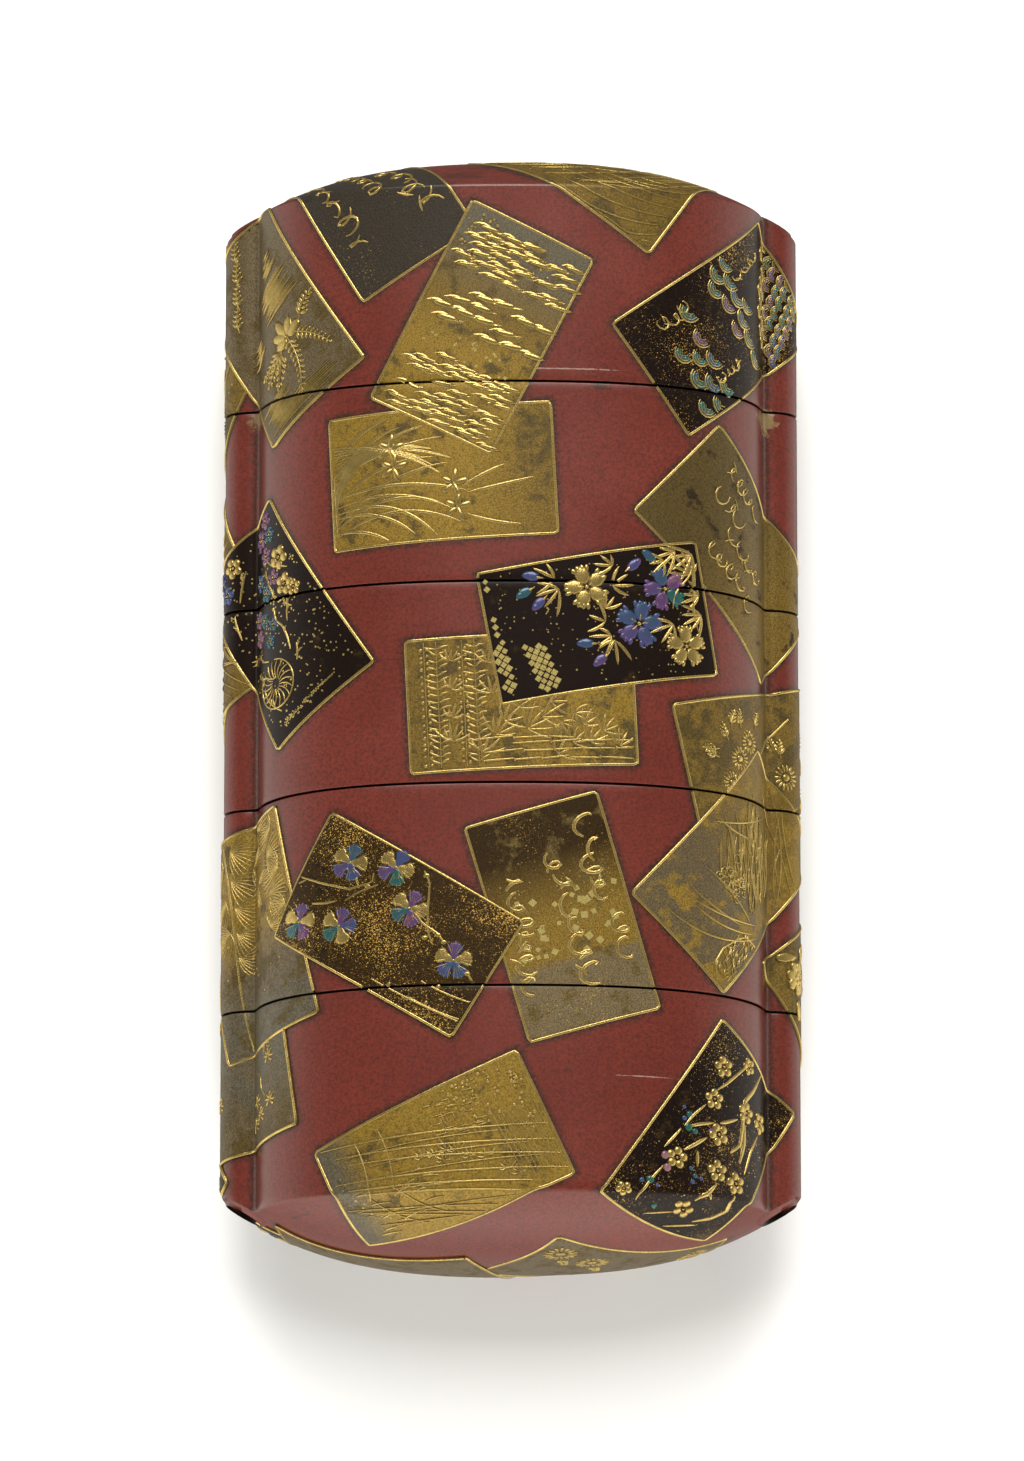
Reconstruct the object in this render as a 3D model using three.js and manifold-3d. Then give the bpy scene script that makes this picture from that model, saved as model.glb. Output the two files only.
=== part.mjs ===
// An inro: a flat lacquered case in five stacked sections, a lid and four cases, each one
// hollow. Every case has a thin riser around its mouth that fits into the section above it,
// and a cord channel runs through a rib along each side. The inro lies on its back.
// Millimetres. +X across the front, +Y towards the lid, +Z out of the front face.
import * as THREE from "three";
import { mergeVertices } from "three/addons/utils/BufferGeometryUtils.js";
import Module from "manifold-3d";

// --- driving dimensions -----------------------------------------------------------------
const bodyHalfWidth = 23.1;
const bodyHalfDepth = 12.5;
const bodySquareness = 2.35; // exponent of the oval section, 2 being a plain ellipse
const backFlatHalfWidth = 4; // the small flat down the back, on which the inro rests
const sectionPitch = 18.5; // height of the wall of each of the five sections
const sectionGap = 0.2; // open seam between two sections
const domeRise = 4.5; // height of the domed top and bottom over their edges
const domeFullness = 3; // exponent of the dome's curve, which is flat in the middle

const ribCentreX = 22.9;
const ribHalfWidth = 3.1;
const ribHalfDepth = 2.4;
const ribSquareness = 2.1;
const ribRootX = 22.3; // where a rib's slanted end leaves the dome
const ribEndSlope = 0.58; // fall of that end for each millimetre outwards
const ribCornerWidth = 0.8; // the rounded outer corner of the end, across and along the rib
const ribCornerLength = 0.9;

const channelCentreX = 23.7;
const channelHalfWidth = 1.6;
const channelHalfDepth = 1.3;

const recessHalfWidth = 21.2; // inside of the shell, around the riser of the case below
const recessHalfDepth = 11.1;
const riserClearance = 0.15;
const riserWall = 0.8;
const riserHeight = 5.5;
const riserEndClearance = 0.3;
const floorThickness = 1.5;
const innerDomeRise = 3.2;
const innerDomeSetback = 0.6; // the inner dome starts this far short of the outer one

const bodySteps = 76;
const innerSteps = 40;
const ribSteps = 24;
const channelSteps = 16;
const outerDomeRings = 7;
const innerDomeRings = 4;
const ribCornerSteps = 4;

const lacquerRed = 0x7d3c32;
const sectionNames = ["base_case", "third_case", "second_case", "first_case", "lid"];

// --- what follows from them ---------------------------------------------------------------
const lastSection = sectionNames.length - 1;
const wallHalfLength = (sectionNames.length * sectionPitch) / 2;
const innerDomeEdge = wallHalfLength - innerDomeSetback;
const recessDepth = riserHeight - sectionGap + riserEndClearance;
const overrun = 1; // how far a cutter runs past the face that it opens
const backFlatShare = (backFlatHalfWidth / bodyHalfWidth) ** bodySquareness;
const backFlatDepth = bodyHalfDepth * (1 - backFlatShare) ** (1 / bodySquareness);

const body = oval(bodyHalfWidth, bodyHalfDepth, bodySteps);
const recess = oval(recessHalfWidth, recessHalfDepth, innerSteps);
const riser = inset(recess, riserClearance);
const cavity = inset(riser, riserWall);

// The outline of a piece seen along Y.
function oval(halfWidth, halfDepth, steps, squareness = bodySquareness, centreX = 0) {
  return { halfWidth, halfDepth, steps, squareness, centreX };
}

function inset(outline, distance) {
  const { halfWidth, halfDepth, steps } = outline;
  return oval(halfWidth - distance, halfDepth - distance, steps);
}

const wasm = await Module();
wasm.setup();

// A three.js geometry as a manifold-3d solid.
function solidOf(geometry) {
  const bare = geometry.clone();
  bare.deleteAttribute("normal");
  bare.deleteAttribute("uv");
  const merged = mergeVertices(bare, 1e-4);
  const mesh = new wasm.Mesh({
    numProp: 3,
    vertProperties: merged.attributes.position.array,
    triVerts: new Uint32Array(merged.index.array),
  });
  return new wasm.Manifold(mesh);
}

// A lathe along Y whose round section is drawn out to an oval. Each [share, y] of the
// profile, which rises along Y, says how much of the full oval is reached at that height.
function ovalLathe(profile, outline) {
  const { halfWidth, halfDepth, steps, squareness, centreX } = outline;
  const lowEnd = [0, profile[0][1]];
  const highEnd = [0, profile[profile.length - 1][1]];
  const points = [lowEnd, ...profile, highEnd].map((point) => new THREE.Vector2(...point));
  const geometry = new THREE.LatheGeometry(points, steps);
  const place = geometry.getAttribute("position");
  for (let i = 0; i < place.count; i++) {
    const share = Math.hypot(place.getX(i), place.getZ(i));
    const across = share === 0 ? 0 : place.getX(i) / share;
    const through = share === 0 ? 0 : place.getZ(i) / share;
    place.setX(i, centreX + halfWidth * share * squared(across, squareness));
    place.setZ(i, halfDepth * share * squared(through, squareness));
  }
  return solidOf(geometry);
}

// The coordinate on a rounded square for a coordinate on the unit circle.
function squared(value, squareness) {
  const level = Math.abs(value) < 1e-9 ? 0 : Math.abs(value) ** (2 / squareness);
  return Math.sign(value) * level;
}

const prism = (outline, low, high) => ovalLathe([[1, low], [1, high]], outline);

// The [share, height] steps of a dome, from its edge up to its flat middle.
function domeSteps(rise, rings) {
  const steps = [];
  for (let i = 0; i < rings; i++) {
    const share = Math.cos((i / rings) * (Math.PI / 2));
    steps.push([share, rise * (1 - share ** domeFullness)]);
  }
  return steps;
}

// A prism that may end in a dome, below its low edge and above its high edge.
function domedPrism(outline, low, high, lowRise, highRise, rings) {
  const lowSteps = lowRise ? domeSteps(lowRise, rings).reverse() : [[1, 0]];
  const highSteps = highRise ? domeSteps(highRise, rings) : [[1, 0]];
  const profile = [
    ...lowSteps.map(([share, height]) => [share, low - height]),
    ...highSteps.map(([share, height]) => [share, high + height]),
  ];
  return ovalLathe(profile, outline);
}

// Which way an end of the inro falls back along a rib, as [x, y] steps from the dome out.
function ribEndPoints(end, direction) {
  const outerX = ribCentreX + ribHalfWidth;
  const edgeAt = (x) => end - direction * ribEndSlope * (x - bodyHalfWidth);
  const cornerX = outerX - ribCornerWidth;
  const corner = new THREE.QuadraticBezierCurve(
    new THREE.Vector2(cornerX, edgeAt(cornerX)),
    new THREE.Vector2(outerX, edgeAt(outerX)),
    new THREE.Vector2(outerX, edgeAt(outerX) - direction * ribCornerLength),
  );
  return [new THREE.Vector2(ribRootX, edgeAt(ribRootX)), ...corner.getPoints(ribCornerSteps)];
}

// The rib on one side, -1 or 1. It runs out in a slant at the ends of the whole inro.
function rib(side, low, high, lowIsEnd, highIsEnd) {
  const outline = oval(ribHalfWidth, ribHalfDepth, ribSteps, ribSquareness, side * ribCentreX);
  const outerX = ribCentreX + ribHalfWidth;
  const squareEnd = (y) => [new THREE.Vector2(ribRootX, y), new THREE.Vector2(outerX, y)];
  const lowPoints = lowIsEnd ? ribEndPoints(low, -1) : squareEnd(low);
  const highPoints = highIsEnd ? ribEndPoints(high, 1) : squareEnd(high);
  const plan = [...lowPoints, ...highPoints.reverse()];
  plan.forEach((point) => point.setX(side * point.x));
  const depth = 2 * (ribHalfDepth + overrun);
  const slab = new THREE.ExtrudeGeometry(new THREE.Shape(plan), { depth, bevelEnabled: false });
  slab.translate(0, 0, -depth / 2);
  return solidOf(slab).intersect(prism(outline, low - domeRise, high + domeRise));
}

// Everything behind the resting plane, to be cut away.
function behindBackFlat() {
  const size = 2 * (wallHalfLength + domeRise + overrun);
  const slab = new THREE.BoxGeometry(size, size, bodyHalfDepth);
  slab.translate(0, 0, -backFlatDepth - bodyHalfDepth / 2);
  return solidOf(slab);
}

// The outer form of a section, ribs and channels included, not yet hollowed.
function sectionBlock(index) {
  const isBase = index === 0;
  const isLid = index === lastSection;
  const start = -wallHalfLength + index * sectionPitch;
  const low = isBase ? start : start + sectionGap / 2;
  const high = start + sectionPitch - (isLid ? 0 : sectionGap / 2);
  const lowRise = isBase ? domeRise : 0;
  const highRise = isLid ? domeRise : 0;
  let block = domedPrism(body, low, high, lowRise, highRise, outerDomeRings);
  for (const side of [-1, 1]) {
    const channelX = side * channelCentreX;
    const channel = oval(channelHalfWidth, channelHalfDepth, channelSteps, 2, channelX);
    block = block.add(rib(side, low, high, isBase, isLid));
    block = block.subtract(prism(channel, low - overrun, high + overrun));
  }
  return { block: block.subtract(behindBackFlat()), low, high };
}

function sectionSolid(index) {
  const { block, low, high } = sectionBlock(index);
  let solid = block;
  if (index === lastSection) {
    const hollow = domedPrism(
      recess, low - overrun, innerDomeEdge, 0, innerDomeRise, innerDomeRings);
    return solid.subtract(hollow);
  }
  solid = solid.add(prism(riser, high - overrun, high + riserHeight));
  if (index === 0) {
    const hollow = domedPrism(
      cavity, -innerDomeEdge, high + riserHeight + overrun, innerDomeRise, 0, innerDomeRings);
    return solid.subtract(hollow);
  }
  const floorTop = low + recessDepth + floorThickness;
  return solid
    .subtract(prism(recess, low - overrun, low + recessDepth))
    .subtract(prism(cavity, floorTop, high + riserHeight + overrun));
}

function meshOf(solid, name) {
  const { vertProperties, triVerts } = solid.getMesh();
  const geometry = new THREE.BufferGeometry();
  geometry.setAttribute("position", new THREE.BufferAttribute(vertProperties, 3));
  geometry.setIndex(new THREE.BufferAttribute(triVerts, 1));
  geometry.computeVertexNormals();
  const material = new THREE.MeshStandardMaterial({
    color: lacquerRed,
    roughness: 0.35,
    metalness: 0,
    flatShading: true,
  });
  const mesh = new THREE.Mesh(geometry, material);
  mesh.name = name;
  return mesh;
}

// The sections are worked out around the middle of the inro and then set on the back flat.
const stack = new THREE.Group();
stack.position.z = backFlatDepth;
sectionNames.forEach((name, index) => stack.add(meshOf(sectionSolid(index), name)));

const inro = new THREE.Group();
inro.add(stack);

export default inro;
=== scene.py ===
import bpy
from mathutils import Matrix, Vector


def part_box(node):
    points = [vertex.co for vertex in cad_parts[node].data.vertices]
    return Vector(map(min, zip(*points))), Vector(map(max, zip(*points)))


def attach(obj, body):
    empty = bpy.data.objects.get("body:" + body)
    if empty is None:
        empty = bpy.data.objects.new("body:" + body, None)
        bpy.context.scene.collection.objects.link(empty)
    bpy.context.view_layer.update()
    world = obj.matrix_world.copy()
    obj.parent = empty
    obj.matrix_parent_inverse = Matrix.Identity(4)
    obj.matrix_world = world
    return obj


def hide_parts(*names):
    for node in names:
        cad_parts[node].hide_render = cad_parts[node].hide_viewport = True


bl_info = {
    "name": "Inro Case",
    "version": (1, 0, 0),
    "blender": (4, 5, 0),
    "location": "3D View > Sidebar > Inro",
    "description": "Lacquer, scattered cards and raised gold for a five-section inro",
    "category": "Object",
}

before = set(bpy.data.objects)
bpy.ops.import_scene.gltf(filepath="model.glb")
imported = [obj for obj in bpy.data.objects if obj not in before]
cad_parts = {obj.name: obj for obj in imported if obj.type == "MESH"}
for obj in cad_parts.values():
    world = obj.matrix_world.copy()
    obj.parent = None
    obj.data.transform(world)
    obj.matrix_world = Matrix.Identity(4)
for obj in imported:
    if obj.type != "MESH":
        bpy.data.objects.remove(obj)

import math

import bpy
import numpy as np
from mathutils import Matrix, Vector
from mathutils.geometry import delaunay_2d_cdt

# Lengths in the code are millimetres, and MM makes them metres where a mesh is made. A place
# on the case is given by s, the way round it from the middle of the front towards +X, and q,
# the way along it. Past the ridge of an end, q runs on over the dome.
MM = 0.001

BODY_HALF_WIDTH = 23.1
BODY_HALF_DEPTH = 12.5
BODY_SQUARENESS = 2.35
RIB_CENTRE = 22.9
RIB_HALF_WIDTH = 3.1
RIB_HALF_DEPTH = 2.4
RIB_SQUARENESS = 2.1
DOME_RISE = 4.5
DOME_FULLNESS = 3.0
GROOVE_AT = 26.9  # s of the groove beside a rib
EDGE_RADIUS = 0.35
RIB_CORNER_RADIUS = 0.5
GROOVE_SOFTNESS = 0.32
CHANNEL = (23.7, 1.6, 1.3)  # centre across, half width, half depth
RECESS = (21.2, 11.1)
RISER = (21.05, 10.95)
CAVITY = (20.25, 10.15)
RISER_HEIGHT = 5.5
RECESS_DEPTH = 5.6
FLOOR_THICKNESS = 1.5
INNER_DOME_RISE = 3.2
INNER_DOME_SETBACK = 0.6
RISER_ROUNDING = 0.15
ROW_SPACING = 0.55  # between the mesh lines across the case
SMOOTH_ANGLE = math.radians(50)
FLOOR_LEVEL = -0.02

SECTIONS = sorted(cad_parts, key=lambda node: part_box(node)[0].y)
SECTION_LOWS = [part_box(node)[0].y / MM for node in SECTIONS]
BASE, LID = 0, len(SECTIONS) - 1  # their places in SECTIONS
PITCH = SECTION_LOWS[2] - SECTION_LOWS[1]
RIDGE = len(SECTIONS) * PITCH / 2
SEAM_GAP = 2 * (SECTION_LOWS[1] - PITCH + RIDGE)
MIDDLE_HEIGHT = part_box(SECTIONS[0])[1].z / MM - BODY_HALF_DEPTH
SEAMS = [PITCH * step - RIDGE for step in range(1, len(SECTIONS))]


def section_reach(index):
    """The lowest and highest q of a section's wall."""
    low = -RIDGE + index * PITCH + (SEAM_GAP / 2 if index != BASE else 0)
    high = -RIDGE + (index + 1) * PITCH - (SEAM_GAP / 2 if index != LID else 0)
    return low, high


def smooth_step(value):
    """Eases from 0 to 1."""
    t = np.clip(value, 0, 1)
    return t * t * (3 - 2 * t)


# --- the settings a user would change -----------------------------------------------------


def length_setting(name, description, default):
    return bpy.props.FloatProperty(
        name=name, description=description, default=default, min=0, unit="LENGTH", precision=5
    )


def colour_setting(name, description, default):
    return bpy.props.FloatVectorProperty(
        name=name, description=description, default=default, min=0, max=1, size=3, subtype="COLOR"
    )


class InroSizes(bpy.types.PropertyGroup):
    """Sizes of the lacquer, the cards and the raised gold."""

    margin: length_setting(
        "Ground margin", "How far the ground stays under the frame, to leave room for relief", 0.0003
    )
    lip: length_setting("Seam lip", "Rounding of the edges along a seam", 0.00012)
    card_length: length_setting("Card length", "Long side of a card", 0.0203)
    card_width: length_setting("Card width", "Short side of a card", 0.0122)
    card_rise: length_setting("Card rise", "How far a card stands over what it lies on", 0.00002)
    rim_width: length_setting("Rim width", "Width of the gold line round a card", 0.00031)
    rim_rise: length_setting("Rim rise", "How far that line stands over its card", 0.00008)


class InroColours(bpy.types.PropertyGroup):
    """Colours of the lacquers and powders."""

    red: colour_setting("Red lacquer", "Ground of the case", (0.118, 0.0208, 0.0138))
    gold: colour_setting("Gold powder", "Thick gold ground", (0.194, 0.124, 0.0194))
    dark_gold: colour_setting("Thin gold powder", "Darker gold ground", (0.130, 0.083, 0.016))
    olive: colour_setting("Olive", "Where the gold is worn", (0.072, 0.050, 0.015))
    umber: colour_setting("Umber", "Brownish grey ground", (0.10, 0.076, 0.040))
    grey: colour_setting("Silver powder", "Grey ground", (0.089, 0.077, 0.050))
    charcoal: colour_setting("Charcoal", "Dark grey ground", (0.026, 0.022, 0.017))
    brown: colour_setting("Brown", "Dark lacquer under gold dust", (0.021, 0.012, 0.004))
    black: colour_setting("Black lacquer", "Ground of the darkest cards", (0.007, 0.004, 0.003))
    relief: colour_setting("Raised gold", "Rims and pictures", (0.66, 0.485, 0.16))
    floor: colour_setting("Floor", "The pale floor", (0.845, 0.875, 0.91))


# --- the surface of the case --------------------------------------------------------------


def direction(turn):
    """Unit steps along a turn in degrees and to its left."""
    along = np.array([math.cos(math.radians(turn)), math.sin(math.radians(turn))])
    return along, np.array([-along[1], along[0]])


def rounded_square(turn, half_width, half_depth, squareness):
    """Points of an oval from its straight-up direction, turn 0, towards its side."""
    across, up = np.sin(turn), np.cos(turn)
    power = 2 / squareness
    return (
        half_width * np.sign(across) * np.abs(across) ** power,
        half_depth * np.sign(up) * np.abs(up) ** power,
    )


def oval_share(x, z, half_width, half_depth, squareness):
    """How far out a point lies, 1 being on the oval."""
    return (np.abs(x / half_width) ** squareness + np.abs(z / half_depth) ** squareness) ** (
        1 / squareness
    )


def quarter_outline(samples=6000, step=0.02):
    """x, z and length run of the outline, from the middle of the front to a rib's crest."""
    body = (BODY_HALF_WIDTH, BODY_HALF_DEPTH, BODY_SQUARENESS)
    rib = (RIB_HALF_WIDTH, RIB_HALF_DEPTH, RIB_SQUARENESS)
    body_x, body_z = rounded_square(np.linspace(0, np.pi / 2, samples), *body)
    end = int(np.argmax(oval_share(body_x - RIB_CENTRE, body_z, *rib) < 1))
    rib_x, rib_z = rounded_square(np.linspace(-np.pi / 2, np.pi / 2, samples), *rib)
    rib_x = rib_x + RIB_CENTRE
    start = int(np.argmax(oval_share(rib_x, rib_z, *body) > 1))
    x = np.concatenate([body_x[:end], rib_x[start:]])
    z = np.concatenate([body_z[:end], rib_z[start:]])
    run = np.concatenate([[0], np.cumsum(np.hypot(np.diff(x), np.diff(z)))])
    even = np.linspace(0, run[-1], int(run[-1] / step) + 1)
    x, z = np.interp(even, run, x), np.interp(even, run, z)
    reach = int(GROOVE_SOFTNESS / step)
    window = np.ones(2 * reach + 1) / (2 * reach + 1)
    long_x = np.concatenate([-x[reach:0:-1], x, x[-2 : -reach - 2 : -1]])
    long_z = np.concatenate([z[reach:0:-1], z, -z[-2 : -reach - 2 : -1]])
    return np.convolve(long_x, window, "valid"), np.convolve(long_z, window, "valid"), even


OUTLINE_X, OUTLINE_Z, OUTLINE_RUN = quarter_outline()
QUARTER = OUTLINE_RUN[-1]
WAY_ROUND = 4 * QUARTER


def outline_at(s):
    """x, z and the outward direction of the outline at s, front and back alike."""
    wrapped = (np.asarray(s, float) + WAY_ROUND / 2) % WAY_ROUND - WAY_ROUND / 2
    behind = np.abs(wrapped) > QUARTER
    run = np.where(behind, 2 * QUARTER - np.abs(wrapped), np.abs(wrapped))

    def spot(at):
        return np.interp(at, OUTLINE_RUN, OUTLINE_X), np.interp(at, OUTLINE_RUN, OUTLINE_Z)

    x, z = spot(run)
    (x0, z0), (x1, z1) = spot(np.maximum(run - 0.03, 0)), spot(np.minimum(run + 0.03, QUARTER))
    dx, dz = x1 - x0, z1 - z0
    length = np.hypot(dx, dz)
    side, back = np.where(wrapped < 0, -1.0, 1.0), np.where(behind, -1.0, 1.0)
    return x * side, z * back, -dz / length * side, dx / length * back


def end_height(x, z):
    """How far out an end of the case stands, the slanted ends of the ribs included."""
    share = oval_share(x, z, BODY_HALF_WIDTH, BODY_HALF_DEPTH, BODY_SQUARENESS)
    inside = 1 - np.minimum(share, 1) ** DOME_FULLNESS
    beyond = DOME_FULLNESS * np.maximum(share - 1, 0)
    return RIDGE + DOME_RISE * (inside - beyond)


def end_slopes(x, z, tiny=1e-3):
    """How steeply an end rises across and through the case."""
    slope_x = (end_height(x + tiny, z) - end_height(x - tiny, z)) / (2 * tiny)
    slope_z = (end_height(x, z + tiny) - end_height(x, z - tiny)) / (2 * tiny)
    return slope_x, slope_z


def edge_radius(x):
    """Rounding of the ridges, which grows on the slanted ends of the ribs."""
    return EDGE_RADIUS + (RIB_CORNER_RADIUS - EDGE_RADIUS) * smooth_step((np.abs(x) - 24.2) / 1.8)


class CaseSurface:
    """Turns s and q into places on the lacquer."""

    def __init__(self, sizes):
        self.margin = sizes.margin / MM
        self.lip = sizes.lip / MM

    def lip_drop(self, q):
        """How far the surface falls away beside a seam."""
        past_seam = np.min([np.abs(q - seam) for seam in SEAMS], axis=0) - SEAM_GAP / 2
        inwards = np.clip(self.lip - past_seam, 0, self.lip)
        return self.lip - np.sqrt(np.maximum(self.lip**2 - inwards**2, 0))

    def place(self, s, q, lift=0.0):
        """Points, in millimetres, and the outward directions there."""
        s, q, lift = np.broadcast_arrays(
            np.asarray(s, float), np.asarray(q, float), np.asarray(lift, float)
        )
        x, z, out_x, out_z = outline_at(s)
        end = np.where(q < 0, -1.0, 1.0)
        radius = edge_radius(x)
        past = np.abs(q) - end_height(x, z)
        t = np.clip((past + radius) / (2 * radius), 0, 1)
        inset, drop = t * t * radius, (1 - t) ** 2 * radius
        over = np.maximum(past - radius, 0)
        px = x - out_x * inset
        pz = z - out_z * inset - np.sign(z) * over
        y = np.where(past < -radius, np.abs(q), end_height(px, pz) - drop)
        slope_x, slope_z = end_slopes(px, pz)
        out = np.stack([(1 - t) * out_x - t * slope_x, t, (1 - t) * out_z - t * slope_z], -1)
        out /= np.linalg.norm(out, axis=-1, keepdims=True)
        rise = lift - self.margin - self.lip_drop(q)
        point = np.stack([px, y, pz], -1) + out * rise[..., None]
        point[..., 1] *= end
        out[..., 1] *= end
        point[..., 2] = np.maximum(point[..., 2] + MIDDLE_HEIGHT, 0)
        return point, out


def end_chart(x, z, end, behind):
    """The s and q that place takes for a point of an end face, counted over its front edge or
    over its back edge."""
    run = np.interp(np.abs(x), OUTLINE_X, OUTLINE_RUN)
    s = (2 * QUARTER - run if behind else run) * np.where(x < 0, -1, 1)
    from_edge = np.interp(np.abs(x), OUTLINE_X, OUTLINE_Z) + (z if behind else -z)
    return s, end * (RIDGE + EDGE_RADIUS + np.maximum(from_edge, 0))


def lattice_columns():
    """The s of the mesh lines along the case, closer together at the grooves and on the ribs."""
    before, after = GROOVE_AT - 1.0, GROOVE_AT + 1.0
    body, groove = np.linspace(0, before, 53), np.linspace(before, after, 15)
    quarter = np.concatenate([body, groove[1:], np.linspace(after, QUARTER, 12)[1:]])
    half = np.concatenate([quarter, 2 * QUARTER - quarter[-2::-1]])
    return np.concatenate([half, half[1:-1] + 2 * QUARTER])


def lattice_rows(index, lip):
    """The q of the mesh lines across a section, from its low end to its high end."""
    low, high = section_reach(index)
    curl = lip * (1 - np.sin(np.radians([90, 60, 30, 0])))
    first = [low - 0.2] if index == BASE else [low + step for step in curl]
    last = [high + 0.2] if index == LID else [high - step for step in curl[::-1]]
    steps = int((last[0] - first[-1]) / ROW_SPACING)
    middle = np.linspace(first[-1], last[0], steps + 1)[1:-1]
    return np.array([*first, *middle, *last])


# --- meshes -------------------------------------------------------------------------------


def mesh_object(name, points, faces, edges=(), materials=(), finishes=None, attributes=None):
    """An object from points in millimetres. attributes holds name: (kind, values by point)."""
    mesh = bpy.data.meshes.new(name)
    mesh.from_pydata(np.asarray(points, float) * MM, edges, faces)
    for material in materials:
        mesh.materials.append(material)
    if finishes is not None:
        mesh.polygons.foreach_set("material_index", np.asarray(finishes, np.int32))
    for label, (kind, values) in (attributes or {}).items():
        layer = mesh.attributes.new(label, kind, "POINT")
        field = "vector" if kind in ("FLOAT_VECTOR", "FLOAT2") else "value"
        kept = np.int32 if kind == "INT" else np.float32
        layer.data.foreach_set(field, np.ascontiguousarray(values, kept).ravel())
    mesh.update()
    made = bpy.data.objects.new(name, mesh)
    bpy.context.scene.collection.objects.link(made)
    return made


HIDDEN = 1e3  # the s and q of a point that isn't on the outside


class ShellDraft:
    """Collects the loops and faces of one closed shell."""

    def __init__(self):
        self.points, self.charts, self.faces, self.finishes = [], [], [], []

    def add_loop(self, points, charts=None):
        start = len(self.points)
        points = np.asarray(points, float)
        self.points.extend(points)
        self.charts.extend(np.full((len(points), 2), HIDDEN) if charts is None else charts)
        return list(range(start, len(self.points)))

    def add_faces(self, faces, finish):
        self.faces.extend(faces)
        self.finishes.extend([finish] * len(faces))

    def join(self, low, high, finish, inwards=False):
        """Quads between two loops that run the same way round, the high one further along Y."""
        count = len(low)
        for i in range(count):
            k = (i + 1) % count
            face = (low[i], high[i], high[k], low[k])
            self.add_faces([face[::-1] if inwards else face], finish)

    def fill(self, outer, holes, finish, towards, inner_points=()):
        """Triangles between an outer loop and its holes, facing along Y the way given."""
        spots, ids, edges, borders = [], [], [], []
        for loop in (outer, *holes):
            start = len(spots)
            spots += [Vector((self.points[i][0], self.points[i][2])) for i in loop]
            borders.append(np.array(spots[start:]))
            ids += list(loop)
            edges += [(start + i, start + (i + 1) % len(loop)) for i in range(len(loop))]
        spots += [Vector((self.points[i][0], self.points[i][2])) for i in inner_points]
        ids += list(inner_points)
        out = delaunay_2d_cdt(spots, edges, [], 0, 1e-7)
        places, triangles, origins = out[0], out[2], out[3]
        middles = np.array([np.mean([places[i] for i in tri], axis=0) for tri in triangles])
        wanted = inside_loop(middles, borders[0])
        for border in borders[1:]:
            wanted &= ~inside_loop(middles, border)
        faces = []
        for tri, keep in zip(triangles, wanted):
            if not keep:
                continue
            a, b, c = (places[i] for i in tri)
            turns_left = (b - a).cross(c - a) > 0
            tri = [ids[origins[i][0]] for i in tri]
            # Seen from +Y, x runs left when z is up, so a left turn in x, z faces -Y.
            faces.append(tri if turns_left == (towards < 0) else tri[::-1])
        self.add_faces(faces, finish)


def inside_loop(points, loop):
    """Which points lie inside a closed loop."""
    inside = np.zeros(len(points), bool)
    for a, b in zip(loop, np.roll(loop, -1, axis=0)):
        crosses = (a[1] > points[:, 1]) != (b[1] > points[:, 1])
        span = b[1] - a[1] if b[1] != a[1] else 1e-12
        at = a[0] + (points[:, 1] - a[1]) / span * (b[0] - a[0])
        inside ^= crosses & (points[:, 0] < at)
    return inside


# --- the five sections of lacquer ---------------------------------------------------------

OUTER, INNER = 0, 1  # finishes of a section


def oval_loop(y, half_width, half_depth, squareness=BODY_SQUARENESS, centre=0.0, steps=120):
    """A loop round Y that turns from the front towards +X."""
    x, z = rounded_square(
        np.arange(steps) * 2 * np.pi / steps, half_width, half_depth, squareness
    )
    return np.stack([x + centre, np.full(steps, float(y)), z + MIDDLE_HEIGHT], -1)


def channel_loop(draft, side, y=None, end=0):
    """The mouth of a cord channel, level at y or on an end face."""
    centre, half_width, half_depth = CHANNEL
    points = oval_loop(y or 0, half_width, half_depth, 2.0, side * centre, 28)
    if y is None:
        points[:, 1] = end * end_height(points[:, 0], points[:, 2] - MIDDLE_HEIGHT)
        charts = np.tile([side * QUARTER, end * RIDGE], (28, 1))
        return draft.add_loop(points, charts)
    return draft.add_loop(points)


def dome_grid(rim, holes, spacing=0.7):
    """Points spread inside the rim of an end face, clear of its holes."""
    wide, deep = 25.9, 12.3  # just inside the whole case
    x, z = np.meshgrid(np.arange(-wide, wide, spacing), np.arange(-deep, deep + 0.1, spacing))
    spots = np.stack([x.ravel(), z.ravel() + MIDDLE_HEIGHT], -1)
    wanted = inside_loop(spots, rim)
    for hole in holes:
        wanted &= ~inside_loop(spots, hole)
    spots = spots[wanted]
    border = np.concatenate([rim, *holes])
    gaps = np.min(np.linalg.norm(spots[:, None] - border[None], axis=-1), axis=1)
    return spots[gaps > 0.4 * spacing]


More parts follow.
